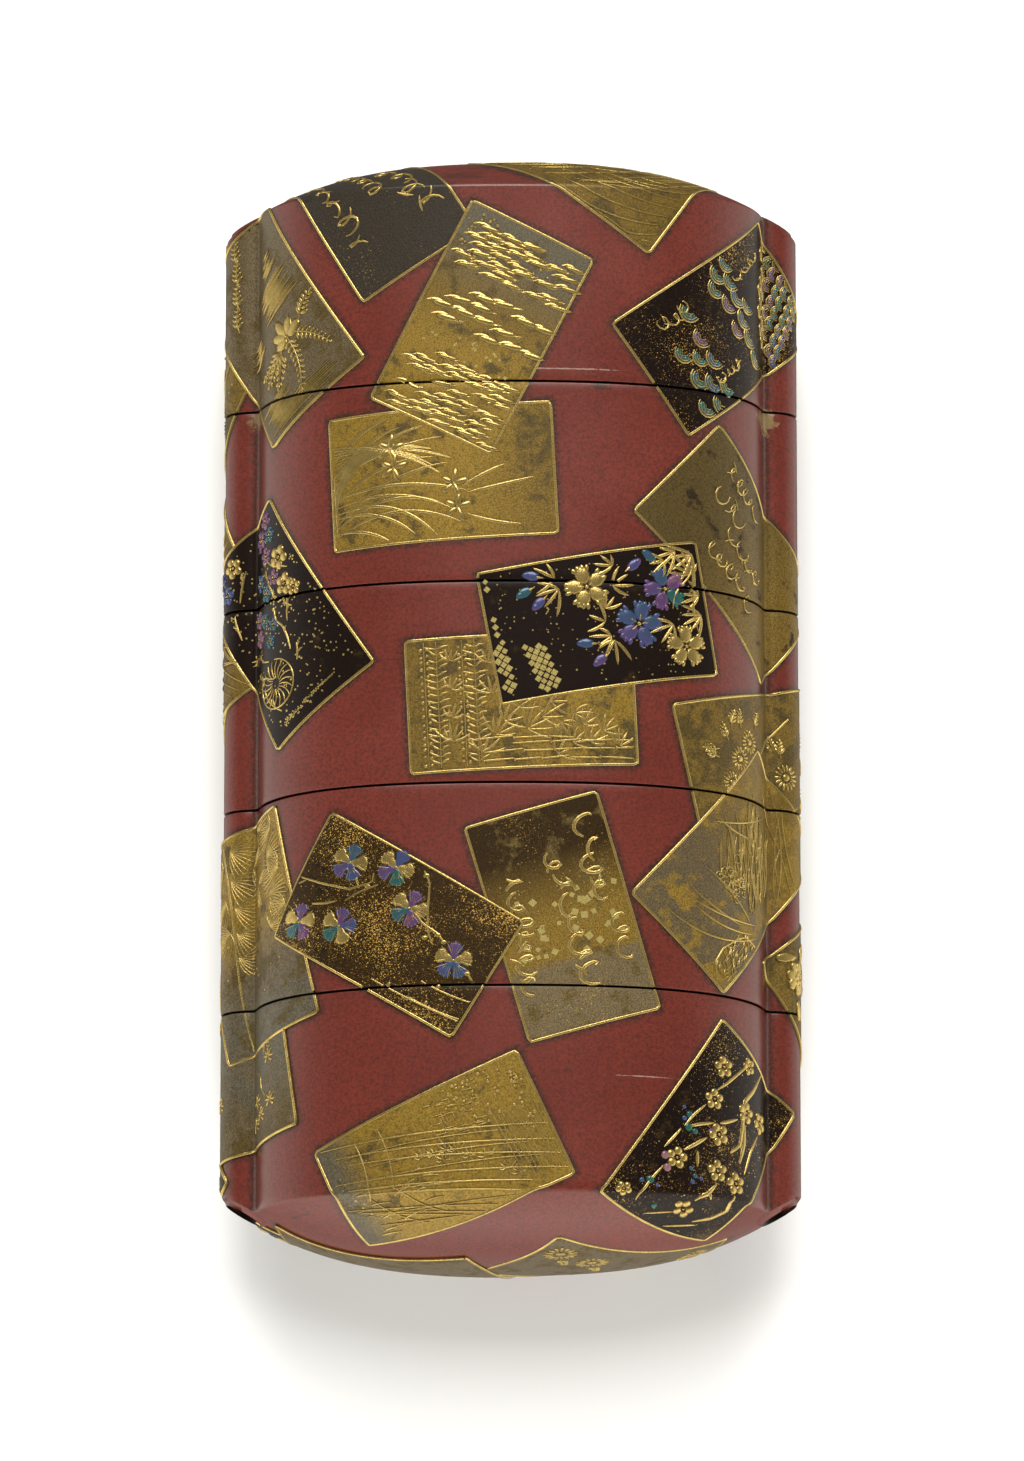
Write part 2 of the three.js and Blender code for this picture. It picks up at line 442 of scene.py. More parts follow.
def build_section(index, surface):
    """The closed shell of one section."""
    draft = ShellDraft()
    columns = lattice_columns()
    rows = lattice_rows(index, surface.lip)
    is_base, is_lid = index == BASE, index == LID
    low, high = section_reach(index)
    edge = end_height(*outline_at(columns)[:2])
    radius = edge_radius(outline_at(columns)[0])
    curls = np.array([-1.0, -0.6, -0.2, 0.2, 0.6, 1.0])
    loops = []

    def wall_loop(q):
        q = np.broadcast_to(q, columns.shape)
        points, _ = surface.place(columns, q)
        loops.append(draft.add_loop(points, np.stack([columns, q], -1)))

    if is_base:
        for curl in curls[::-1]:
            wall_loop(-(edge + curl * radius))
    for q in rows:
        reach = edge - 1.12 * radius
        wall_loop(np.clip(q, -reach if is_base else q, reach if is_lid else q))
    if is_lid:
        for curl in curls:
            wall_loop(edge + curl * radius)
    for lower, upper in zip(loops, loops[1:]):
        draft.join(lower, upper, OUTER)

    mouths = {}
    for end, loop in ((-1, loops[0]), (1, loops[-1])):
        domed = is_base if end < 0 else is_lid
        level = None if domed else (low if end < 0 else high)
        holes = [channel_loop(draft, side, level, end) for side in (-1, 1)]
        mouths[end] = holes
        if domed:
            rim = np.array([draft.points[i] for i in loop])[:, [0, 2]]
            rings = [np.array([draft.points[i] for i in hole])[:, [0, 2]] for hole in holes]
            spots = dome_grid(rim, rings)
            x, z = spots[:, 0], spots[:, 1] - MIDDLE_HEIGHT
            slope_x, slope_z = end_slopes(x, z)
            y = end * (end_height(x, z) - surface.margin * np.sqrt(1 + slope_x**2 + slope_z**2))
            charts = np.stack(end_chart(x, z, end, False), -1)
            inner = draft.add_loop(np.stack([x, y, spots[:, 1]], -1), charts)
            draft.fill(loop, holes, OUTER, end, inner)
        else:
            opening = RECESS if end < 0 else RISER
            neck = draft.add_loop(oval_loop(level, *opening))
            draft.fill(loop, [*holes, neck], INNER, end)
            (hollow_above if end < 0 else raise_riser)(draft, neck, index, level)
    for low_mouth, high_mouth in zip(mouths[-1], mouths[1]):
        draft.join(low_mouth, high_mouth, INNER, inwards=True)
    return draft


def hollow_above(draft, neck, index, level):
    """The recess over a section's low mouth, which takes the riser of the section below."""
    if index != LID:
        top = draft.add_loop(oval_loop(level + RECESS_DEPTH, *RECESS))
        draft.join(neck, top, INNER, inwards=True)
        draft.fill(top, [], INNER, -1)
        return
    inner_dome(draft, neck, RECESS, 1)


def inner_dome(draft, neck, size, end):
    """A hollow that runs to the inside of an end's dome."""
    start = RIDGE - INNER_DOME_SETBACK
    loops = [neck]
    for share in (1, 0.97, 0.9, 0.78, 0.62, 0.42, 0.2):
        y = end * (start + INNER_DOME_RISE * (1 - share**DOME_FULLNESS))
        loops.append(draft.add_loop(oval_loop(y, size[0] * share, size[1] * share)))
    for near, far in zip(loops, loops[1:]):
        lower, upper = (near, far) if end > 0 else (far, near)
        draft.join(lower, upper, INNER, inwards=True)
    draft.fill(loops[-1], [], INNER, -end)


def raise_riser(draft, neck, index, level):
    """The thin riser round a section's high mouth, and the hollow inside it."""
    top = level + RISER_HEIGHT
    loops = [neck, draft.add_loop(oval_loop(top - RISER_ROUNDING, *RISER))]
    wide, deep = RISER
    loops.append(draft.add_loop(oval_loop(top, wide - RISER_ROUNDING, deep - RISER_ROUNDING)))
    wide, deep = CAVITY
    rim = draft.add_loop(oval_loop(top, wide + RISER_ROUNDING, deep + RISER_ROUNDING))
    for near, far in zip(loops, [*loops[1:], rim]):
        draft.join(near, far, INNER)
    inner = draft.add_loop(oval_loop(top - RISER_ROUNDING, *CAVITY))
    draft.join(inner, rim, INNER, inwards=True)
    if index == BASE:
        inner_dome(draft, inner, CAVITY, -1)
        return
    floor = section_reach(index)[0] + RECESS_DEPTH + FLOOR_THICKNESS
    foot = draft.add_loop(oval_loop(floor, *CAVITY))
    draft.join(foot, inner, INNER, inwards=True)
    draft.fill(foot, [], INNER, 1)


# --- the cards ----------------------------------------------------------------------------


class Card:
    """One card, laid on the case at a turn from the way round it, and what is drawn on it."""

    def __init__(self, number, s, q, turn, ground, sizes):
        self.number, self.s, self.q = number, s, q
        self.along, self.across = direction(turn)
        self.half = np.array([sizes.card_length, sizes.card_width]) / MM / 2
        self.ground = GROUNDS[ground]
        self.lines, self.leaves, self.squares = [], [], []
        self.rng = np.random.default_rng(100 + number)
        self.level, self.lift = 0, 0.0

    def to_card(self, s, q):
        """u along the card and v across it, for places on the case."""
        ds = (np.asarray(s, float) - self.s + WAY_ROUND / 2) % WAY_ROUND - WAY_ROUND / 2
        dq = np.asarray(q, float) - self.q
        return (
            ds * self.along[0] + dq * self.along[1],
            ds * self.across[0] + dq * self.across[1],
        )

    def to_case(self, u, v):
        u, v = np.asarray(u, float), np.asarray(v, float)
        return (
            self.s + u * self.along[0] + v * self.across[0],
            self.q + u * self.along[1] + v * self.across[1],
        )

    def corners(self):
        a, b = self.half
        return np.stack(self.to_case([-a, a, a, -a], [-b, -b, b, b]), -1)

    def gap_to(self, s, q):
        """Distance from the card, negative inside it."""
        u, v = self.to_card(s, q)
        du, dv = np.abs(u) - self.half[0], np.abs(v) - self.half[1]
        outside = np.hypot(np.maximum(du, 0), np.maximum(dv, 0))
        return outside + np.minimum(np.maximum(du, dv), 0)

    def overlaps(self, other):
        """Whether two cards share some of the case."""
        a, b = self.half
        u, v = np.meshgrid(np.linspace(-a, a, 21), np.linspace(-b, b, 13))
        return bool(np.any(other.gap_to(*self.to_case(u, v)) < 0.2))

    # What a picture is made of, in millimetres from the card's middle.

    def line(self, points, width=0.2, taper=0.6):
        """A raised line through points, thinner at its ends by taper."""
        self.lines.append((np.asarray(points, float), width, taper))

    def lines_through(self, paths, width, taper):
        for points in paths:
            self.line(points, width, taper)

    def blade(self, u, v, turn, length, bend, width, taper):
        """A bowed line that leaves u, v at about a turn in degrees."""
        self.line(bow((u, v), ahead(u, v, turn, length), bend), width, taper)

    def bows(self, paths, width, taper, steps=12):
        """Bowed lines, each given by its start, its end and its bend."""
        for start, end, bend in paths:
            self.line(bow(start, end, bend, steps), width, taper)

    def leaf(self, u, v, turn, length, width, rise=0.1, shell=None):
        """A raised leaf or petal, of gold or, with a number for its tint, of shell."""
        self.leaves.append((u, v, math.radians(turn), length, width, rise, shell))

    def square(self, u, v, turn, size):
        """A small square of gold leaf."""
        self.squares.append((u, v, math.radians(turn), size))


# --- what is drawn on the cards -----------------------------------------------------------
# Each of these draws on a card in millimetres from its middle, u along it and v across it.


def ahead(u, v, turn, length):
    """The place a length away at a turn in degrees."""
    return u + length * math.cos(math.radians(turn)), v + length * math.sin(math.radians(turn))


def between(start, end, steps):
    """Places from start to end, the way to their left, and how far along they are."""
    start, end = np.array(start, float), np.array(end, float)
    t = np.linspace(0, 1, steps)[:, None]
    left = np.array([start[1] - end[1], end[0] - start[0]])
    left /= max(float(np.linalg.norm(left)), 1e-6)
    return start + (end - start) * t, left, t


def bow(start, end, bend=0.0, steps=12):
    """A path from start to end that bows to its left by bend."""
    path, left, t = between(start, end, steps)
    return path + left * bend * 4 * t * (1 - t)


def swing(start, end, reach, steps=16):
    """A path from start to end that swings to one side and then to the other."""
    path, left, t = between(start, end, steps)
    return path + left * reach * np.sin(2 * np.pi * t)


def ring_path(u, v, radius, first=0, last=360, steps=14):
    """An arc round a place, between two turns in degrees."""
    turns = np.radians(np.linspace(first, last, steps))
    return np.stack([u + radius * np.cos(turns), v + radius * np.sin(turns)], -1)


def running_strokes(card, u, v, turn, length, size, width):
    """A row of shallow curling strokes."""
    rng = card.rng
    along, across = direction(turn)
    at = 0.0
    while at < length - 0.4 * size:
        t = np.linspace(0, 1, 18)
        loops = rng.uniform(0.7, 1.5)
        phase = rng.uniform(0, 2 * np.pi)
        reach = size * rng.uniform(0.75, 1.2)
        forth = at + reach * t + 0.34 * size * np.cos(2 * np.pi * loops * t + phase)
        wide = rng.uniform(0.3, 0.62) * size
        sideways = wide * np.sin(2 * np.pi * loops * t + phase) + rng.uniform(-0.2, 0.2) * size
        path = np.array([u, v]) + forth[:, None] * along + sideways[:, None] * across
        card.line(path, width * rng.uniform(0.85, 1.2), 0.5)
        if rng.random() < 0.45:
            middle = path[9]
            tick = rng.uniform(20, 70) * rng.choice((-1, 1)) + turn
            start = ahead(*middle, tick, -0.45 * size)
            card.bows([(start, ahead(*middle, tick, 0.45 * size), 0.08)], width, 0.6)
        at += reach + rng.uniform(0.1, 0.35) * size


def frond(card, u, v, turn, length, pairs, leaf, bend, spread):
    """A bowed stem with pairs of leaves."""
    tip = ahead(u, v, turn, length)
    path = bow((u, v), tip, bend)
    card.line(path, 0.15, 0.4)
    for i in range(pairs):
        at = (i + 1) / (pairs + 0.6)
        k = at * (len(path) - 1)
        spot = path[int(k)] + (path[min(int(k) + 1, len(path) - 1)] - path[int(k)]) * (k % 1)
        size = leaf * (1.1 - 0.55 * at)
        for side in (-1, 1):
            heading = turn + side * spread
            middle = ahead(*spot, heading, size * 0.5)
            card.leaf(*middle, heading, size, size * 0.42, 0.09)
    card.leaf(*ahead(*tip, turn, leaf * 0.2), turn, leaf * 0.7, leaf * 0.32, 0.09)


def forked_twig(card, u, v, turn, length, width, forks, reach):
    """A crooked twig with side shoots."""
    rng = card.rng
    points = [(u, v)]
    for _ in range(4):
        heading = turn + rng.uniform(-22, 22)
        points.append(ahead(*points[-1], heading, length / 4))
    path = np.array(points)
    card.line(path, width, 0.5)
    for _ in range(forks):
        k = rng.integers(1, 4)
        spot = path[k] + (path[k + 1] - path[k]) * rng.random()
        side = rng.choice((-1, 1)) * rng.uniform(30, 60)
        card.blade(*spot, turn + side, reach * rng.uniform(0.6, 1.1), 0.12, width * 0.85, 0.8)


def shoots(card, u, v, turn, count, length, spread, width):
    """A fan of thick bowed leaves from one point."""
    for i in range(count):
        side = (i / max(count - 1, 1) - 0.5) * spread
        reach = length * card.rng.uniform(0.75, 1.1)
        card.blade(u, v, turn + side, reach, 0.12 * side / 40, width, 0.9)


def notched_flower(card, u, v, radius, tints, turn=90):
    """Five broad petals with toothed ends. Each tint is None for gold or a number for shell."""
    for i in range(5):
        heading, tint = turn + 72 * i, tints[i % len(tints)]
        middle = ahead(u, v, heading, 0.55 * radius)
        card.leaf(*middle, heading, 0.9 * radius, 0.68 * radius, 0.08, tint)
        for tooth in (-20, -7, 7, 20):
            tip = ahead(u, v, heading + tooth, 0.86 * radius)
            card.leaf(*tip, heading + tooth, 0.34 * radius, 0.2 * radius, 0.07, tint)
        vein = [ahead(u, v, heading, share * radius) for share in (0.12, 0.42)]
        card.line(vein, 0.14, 0.5)
    card.leaf(u, v, 0, 0.2 * radius, 0.2 * radius, 0.13)


def fan_flower(card, u, v, radius, turn, tints):
    """Petals of gold and shell ribbed with fine gold lines."""
    for i, tint in enumerate(tints):
        heading = turn + 360 / len(tints) * i
        for share, length, width in ((0.68, 0.62, 0.86), (0.42, 0.8, 0.5)):
            middle = ahead(u, v, heading, share * radius)
            card.leaf(*middle, heading, length * radius, width * radius, 0.06, tint)
        start = ahead(u, v, heading, 0.16 * radius)
        for rib in (-26, -13, 0, 13, 26):
            end = ahead(u, v, heading + rib, 0.98 * radius)
            card.line([start, end], 0.13 if tint is None else 0.1, 0.5)
    card.leaf(u, v, 0, 0.16 * radius, 0.16 * radius, 0.13)


def plum_blossom(card, u, v, radius, turn=90, tints=(None,)):
    """Five round domed petals about a dot."""
    for i in range(5):
        heading = turn + 72 * i
        size = 0.82 * radius
        middle = ahead(u, v, heading, 0.62 * radius)
        card.leaf(*middle, heading, size, size, 0.13, tints[i % len(tints)])
        inner = ahead(u, v, heading + 36, 0.34 * radius)
        card.leaf(*inner, heading, 0.14 * radius, 0.14 * radius, 0.1)
    card.leaf(u, v, 0, 0.26 * radius, 0.26 * radius, 0.12)


def daisy(card, u, v, radius):
    """Narrow petals round a broad middle."""
    for heading in range(0, 360, 24):
        card.leaf(*ahead(u, v, heading, 0.7 * radius), heading, 0.62 * radius, 0.22 * radius, 0.07)
    card.leaf(u, v, 0, 0.62 * radius, 0.62 * radius, 0.1)


def bead_cloud(card, u_low, u_high, v_low, v_high, count, small=0.14, large=0.32):
    """Small domes strewn over part of a card."""
    rng = card.rng
    for _ in range(count):
        size = rng.uniform(small, large)
        card.leaf(rng.uniform(u_low, u_high), rng.uniform(v_low, v_high), 0, size, size, size * 0.4)


def scattered_squares(card, u_low, u_high, v_low, v_high, count, size):
    """Small squares strewn over part of a card, turned every way."""
    rng = card.rng
    for _ in range(count):
        turn = rng.uniform(0, 90)
        u, v = rng.uniform(u_low, u_high), rng.uniform(v_low, v_high)
        card.square(u, v, turn, size * rng.uniform(0.7, 1.2))


def square_band(card, start, end, rows, size):
    """A strip of small squares standing on their corners."""
    start, end = np.array(start, float), np.array(end, float)
    length = float(np.linalg.norm(end - start))
    along = (end - start) / length
    across = np.array([-along[1], along[0]])
    pitch = size * 1.62
    for row in range(rows):
        first = start + across * (row - (rows - 1) / 2) * pitch * 0.5
        for i in range(int(length / pitch)):
            if card.rng.random() < 0.1:
                continue
            spot = first + along * pitch * (i + 0.5 * (row % 2))
            card.square(*spot, 45 + card.rng.uniform(-9, 9), size * card.rng.uniform(0.8, 1.05))


# The pictures.


def draw_nothing(card):
    """Leaves the card plain."""


def draw_waves(card):
    """Drifts of thick swinging strokes with beads of spray."""
    rng = card.rng
    for low, high, pitch in ((4.4, 8.4, 0.66), (-0.8, 2.6, 1.0), (-9.8, -4.2, 0.62)):
        for row, u in enumerate(np.arange(low, high, pitch)):
            for v in np.arange(-4.0 + 0.8 * (row % 3), 5.8, 2.2):
                if rng.random() < 0.16:
                    continue
                top = (u + rng.uniform(-0.2, 0.2), v + rng.uniform(-0.3, 0.3))
                end = (top[0] + rng.uniform(0.2, 0.8), top[1] - rng.uniform(2.4, 3.4))
                path = swing(top, end, rng.uniform(0.14, 0.26))
                card.line(path, pitch * rng.uniform(0.8, 1.2), 0.95)
                turn = math.degrees(math.atan2(end[1] - top[1], end[0] - top[0]))
                card.leaf(*np.add(top, end) / 2, turn, 2.3, 0.5 * pitch + 0.12, 0.14)
    bead_cloud(card, 5.4, 9.4, 3.4, 5.6, 26)
    bead_cloud(card, 6.4, 7.6, -3.4, 3.6, 16)
    bead_cloud(card, 7.2, 9.2, 1.8, 4.0, 6, 0.3, 0.42)
    scattered_squares(card, -4.0, -1.6, -5.0, 5.0, 22, 0.26)


def draw_irises(card):
    """Long blades from one end, and a few flowers."""
    rng = card.rng
    for i, turn in enumerate((82, 74, 66, 58, 50, 43, 36, 30, 24, 17, 10, 3, -5, -12)):
        start = (-9.8, -5.0 + 0.62 * i + rng.uniform(-0.2, 0.2))
        length = (10.5 if turn < 45 else 7.5) * rng.uniform(0.75, 1.1)
        for shift in (0, 0.24):
            tip = ahead(start[0], start[1] + 0.3 * shift, turn - 6, length)
            card.line(bow((start[0], start[1] + shift), tip, 0.9 + 0.01 * turn), 0.3, 0.8)
    for v, end, bend in (
        (1.2, (-2.0, 2.4), 1.2), (0.4, (0.2, 3.4), 0.6), (-2.2, (1.0, -3.4), 1.2), (-3.2, (-2.6, -5.4), 1.0),
        (-2.8, (-0.6, -5.7), 1.6), (-1.4, (2.2, -1.7), 0.9), (-4.6, (-5.0, -5.8), 0.5),
        (-3.8, (0.6, 1.0), 1.0), (-1.9, (-0.6, 1.6), 1.1), (-4.2, (-0.2, -2.6), 1.4), (2.0, (-4.6, 5.6), 0.5),
        (-0.6, (-3.6, 4.6), 1.0), (-4.9, (1.6, -4.6), 1.6),
    ):
        card.line(bow((-9.8, v), end, bend), 0.4, 0.85)
    card.bows(
        (((1.8, -1.3), (5.7, 0.5), 0.1), ((2.3, -1.9), (8.3, -0.8), 0.0), ((2.2, -3.9), (6.9, -5.1), -0.2)),
        0.4, 0.85,
    )
    for u, v in ((-4.5, 2.7), (-4.3, 0.9), (1.1, -1.0), (1.3, -3.2)):
        for heading, length in ((80, 1.7), (150, 1.2), (215, 1.4), (290, 1.7), (15, 1.5)):
            card.leaf(*ahead(u, v, heading, 0.7), heading, length, 0.6, 0.13)
        card.leaf(u, v, 0, 0.3, 0.3, 0.15)


def draw_pinks(card):
    """Gold and shell pinks on dark lacquer, with squares of gold along one end."""
    notched_flower(card, -0.7, 3.2, 2.05, (None,), 100)
    notched_flower(card, 3.4, -0.8, 2.15, (0.42, 0.36, 0.62, 0.45, 0.4), 70)
    notched_flower(card, 6.4, 2.1, 2.0, (0.34, 0.66, 0.7, 0.08, 0.78), 100)
    notched_flower(card, 7.5, -3.3, 1.9, (None,), 85)
    for u, v, turn, tint in (
        (-1.7, -1.9, 170, 0.4), (-0.7, -3.6, 210, 0.6), (-6.3, 3.6, 200, 0.2), (-5.2, 2.4, 215, 0.55),
        (-5.4, 5.0, 160, 0.5), (3.9, 4.6, 30, 0.56), (5.5, 5.2, 130, 0.26),
    ):
        card.leaf(u, v, turn, 1.6, 0.95, 0.1, tint)
        card.leaf(*ahead(u, v, turn, 0.5), turn + 15, 0.8, 0.6, 0.12, tint)
        stem = ahead(u, v, turn, -1.1)
        card.bows([(stem, ahead(u, v, turn + side, -0.1), 0.05) for side in (-20, 0, 20)], 0.2, 0.7)
    for u, v, turn, count, length in (
        (0.7, -1.6, 190, 4, 1.9), (0.9, -2.0, 250, 4, 2.2), (0.6, 1.0, 60, 4, 1.7), (1.6, 3.0, 10, 4, 2.2),
        (2.0, 4.8, 150, 4, 2.0), (-3.4, 4.4, 160, 4, 2.0), (-3.2, 3.4, 205, 4, 2.4), (0.4, -0.2, 150, 3, 1.9),
        (9.4, 3.2, 120, 6, 2.6), (9.6, 1.2, 170, 5, 2.0), (8.0, 5.4, 190, 5, 2.6), (9.5, -0.6, 200, 5, 2.2),
        (6.6, -1.2, 210, 4, 2.4), (6.8, 4.6, 200, 4, 1.8), (9.6, 5.0, 210, 5, 3.0),
    ):
        shoots(card, u, v, turn, count, length, 100, 0.38)
    for start, end in (((9.3, 5.4), (9.0, -2.4)), ((9.6, 4.6), (6.8, 0.2))):
        card.line(swing(start, end, 0.3), 0.2, 0.6)
    for start, end, rows, size in (
        ((-9.55, 5.2), (-9.35, -1.0), 1, 0.44), ((-9.45, -0.6), (-9.1, -5.9), 3, 0.5),
        ((-6.4, -1.2), (-5.4, -5.9), 5, 0.48),
    ):
        square_band(card, start, end, rows, size)
    scattered_squares(card, -9, 9, -5.6, 5.6, 220, 0.12)


def draw_bamboo(card):
    """Level canes with fans of narrow leaves, beside upright rows of beads."""
    rng = card.rng
    for u in (-8.5, -7.4, -5.1, -4.0):
        card.line([(u, -5.8), (u, 5.8)], 0.1, 0.1)
        for v in np.arange(-5.4, 5.5, 0.62):
            if u in (-8.5, -5.1):
                for side in (-0.28, 0.28):
                    size = rng.uniform(0.28, 0.42)
                    card.leaf(u + side, v + rng.uniform(-0.15, 0.15), 0, size, size, 0.12)
            else:
                for side in (-1, 1):
                    tip = (u + side * rng.uniform(0.7, 1.2), v + rng.uniform(0.2, 0.6))
                    card.line(bow((u, v), tip, 0.06), 0.27, 0.8)
    for v, start, end in ((-3.9, -1.0, 9.9), (-4.6, -2.6, 9.9), (-5.4, -3.6, 9.9), (-3.4, -4.4, 4.6)):
        u = start
        while u < end:
            step = rng.uniform(2.2, 3.6)
            stop = min(u + step, end)
            card.line([(u, v), (stop - 0.12, v + rng.uniform(-0.2, 0.2))], 0.2, 0.3)
            card.leaf(stop, v, 90, 0.42, 0.2, 0.13)
            u = stop
    for u, v, turn, count, length in (
        (-2.4, -3.0, 60, 6, 2.2), (-1.6, -1.8, 40, 5, 2.0), (0.4, -2.6, 35, 6, 2.4), (1.8, -1.6, 30, 5, 2.2),
        (3.4, -2.2, 300, 5, 1.9), (4.6, -1.4, 330, 5, 1.9), (6.0, -4.0, 50, 5, 1.6), (-0.4, -0.6, 60, 5, 2.0),
        (2.6, -0.2, 20, 4, 2.0), (-3.6, -4.6, 70, 5, 2.0), (-6.4, -3.4, 80, 6, 1.8), (-2.6, 0.8, 100, 5, 1.8),
        (5.4, -2.4, 60, 5, 1.9), (7.2, -3.0, 50, 5, 1.8), (8.6, -4.4, 60, 5, 1.6), (4.4, -4.0, 40, 5, 1.7),
        (1.0, 0.4, 70, 5, 2.0), (-0.8, 1.6, 80, 5, 1.8), (3.0, -5.0, 40, 4, 1.6),
        (-6.2, 1.4, 60, 5, 1.3), (-6.2, 4.0, 80, 5, 1.3), (-2.8, 3.6, 80, 5, 1.6), (-6.3, -1.2, 70, 5, 1.3),
    ):
        shoots(card, u, v, turn, count, length, 120, 0.3)


def draw_strokes_rows(card):
    """Rows of shallow strokes along the card."""
    for u, v, length in ((-6.8, 4.0, 6.6), (-6.0, 1.4, 4.0), (-2.6, -0.4, 6.4), (-3.4, -2.8, 7.6)):
        running_strokes(card, u, v, card.rng.uniform(-6, 6), length, 1.25, 0.2)


def draw_strokes_dark(card):
    """Three long rows of strokes."""
    for u, v, turn, length, size, width in (
        (-5.9, 3.4, 2, 9.0, 1.5, 0.24), (-6.4, -3.9, 8, 8.0, 1.7, 0.26), (-2.2, -0.6, 4, 6.0, 1.5, 0.24),
    ):
        running_strokes(card, u, v, turn, length, size, width)


def draw_strokes_squares(card):
    """Columns of strokes across a card, over scattered squares."""
    for u, v, turn, length in (
        (-8.4, 4.3, -4, 6.6), (1.2, 4.4, 0, 3.2), (-5.4, 0.6, 0, 11.0), (-5.0, -3.4, -6, 11.4),
    ):
        running_strokes(card, u, v, turn, length, 1.6, 0.42)
    scattered_squares(card, -2.2, 3.6, -4.6, 5.4, 34, 0.52)
    scattered_squares(card, -4.6, 1.0, -4.8, 5.4, 60, 0.12)


def draw_blossom_branch(card):
    """Ribbed flowers of gold and shell on a crooked branch."""
    for u, v, turn, tints in (
        (-6.2, 3.0, 170, (None, 0.55, 0.4, None, 0.3)), (-2.2, 4.6, 160, (None, 0.6, 0.1, None, 0.45)),
        (0.8, 2.0, 165, (None, 0.2, 0.72, None, 0.7)), (-4.1, -2.4, 175, (None, 0.1, None, 0.5, 0.68)),
        (-8.0, -3.8, 180, (None, 0.15, 0.72, None, 0.66)), (6.7, -0.1, 185, (None, 0.42, 0.35, None, 0.6)),
    ):
        fan_flower(card, u, v, 1.75, turn, tints)
    branches = (
        [(-9.9, -0.2), (-7.6, 0.2), (-5.0, 0.9), (-3.4, 2.4), (-3.7, 3.2)],
        [(-4.8, -0.2), (-4.1, 1.0), (-2.8, 2.5)], [(-6.4, 2.4), (-5.2, 2.3), (-4.2, 1.4)],
        [(-7.6, -1.8), (-6.4, -1.2), (-5.6, -0.6)],
        [(0.2, 5.6), (1.2, 4.9), (2.4, 2.6), (3.4, 1.0), (4.4, 0.2)],
        [(1.2, 2.0), (2.6, 1.4), (4.2, 1.3), (5.2, 0.9)], [(8.2, -0.4), (9.3, -0.9)],
        [(-9.9, -0.8), (-9.3, -0.2)], [(-2.0, 5.0), (-0.9, 3.8)],
    )
    card.lines_through(branches, 0.36, 0.45)
    for u, v in ((0.6, 5.3), (3.4, 0.4), (4.3, 1.2), (-3.6, 1.9), (8.4, -0.5), (5.1, 0.9)):
        card.leaf(u, v, 30, 0.6, 0.42, 0.13)
    for v, start in ((-3.1, 5.2), (-5.1, 1.2), (-4.9, 5.0)):
        card.line(bow((start, v), (9.9, v + 0.5), -0.15), 0.22, 0.3)
        card.leaf(start + 1.6, v + 0.3, 90, 0.5, 0.4, 0.12)
    scattered_squares(card, -9.5, 9.5, -5.6, 5.6, 90, 0.09)


def draw_hedge(card):
    """Long level lines with a fence, hatching and shrubs at one end."""
    rng = card.rng
    for i, v in enumerate((5.2, 3.9, 2.8, 1.7, 0.6, -0.4, -1.2, -1.9, -2.4)):
        start = (-9.6 + 0.9 * (i % 3), v + 0.6)
        card.line(bow(start, (9.9, v - 6.2 - 0.28 * i), 0.25), 0.17, 0.5)
    for i in range(6):
        v = 4.2 - 1.5 * i
        card.line(bow((-8.6 + 0.9 * (i % 4), v), (6.8 + i % 3, v - 4.4 - 0.2 * i), 0.3), 0.11, 0.7)
    for _ in range(20):
        u, v = rng.uniform(-9.2, -2.5), rng.uniform(-5.4, 1.0)
        card.blade(u, v, rng.uniform(-30, 10), rng.uniform(0.8, 2.2), 0.1, 0.18, 0.8)
    for u in (-6.8, -4.4):
        card.line(bow((u + 0.4, 4.8), (u - 0.6, -0.6), 0.35), 0.16, 0.4)
        card.line(bow((u - 0.5, -0.4), (u + 3.4, -4.8), -0.4), 0.14, 0.5)
    for u in np.arange(5.8, 9.8, 0.42):
        card.line([(u, 2.4 - rng.uniform(0, 1)), (u + 0.3, -5.6 + rng.uniform(0, 1.2))], 0.15, 0.4)
    for _ in range(46):
        u, v = rng.uniform(0.2, 4.6), rng.uniform(1.2, 5.0)
        level = rng.random() < 0.5
        tip = (u + 0.8, v - 0.15) if level else (u + 0.05, v - 0.8)
        card.line([(u, v), tip], 0.11, 0.5)
    for u, v in (
        (-1.4, 0.9), (-0.4, 0.6), (0.8, 0.5), (1.6, 0.2), (2.4, -0.8), (3.8, -1.4), (0.2, -0.2),
        (5.0, -3.2), (5.8, -4.0),
    ):
        shoots(card, u, v, 90, 5, 0.9, 140, 0.18)
        shoots(card, u, v, 280, 3, 0.7, 100, 0.16)
    for shrub in (
        (2.0, 9.2, 3.2, 5.6, 60, 0.16, 0.38), (8.2, 9.4, -1.0, 4.6, 14, 0.24, 0.44),
        (3.4, 8.2, 1.0, 3.4, 14, 0.2, 0.4),
    ):
        bead_cloud(card, *shrub)
    scattered_squares(card, -9.2, -5.5, -3.0, 5.0, 20, 0.14)


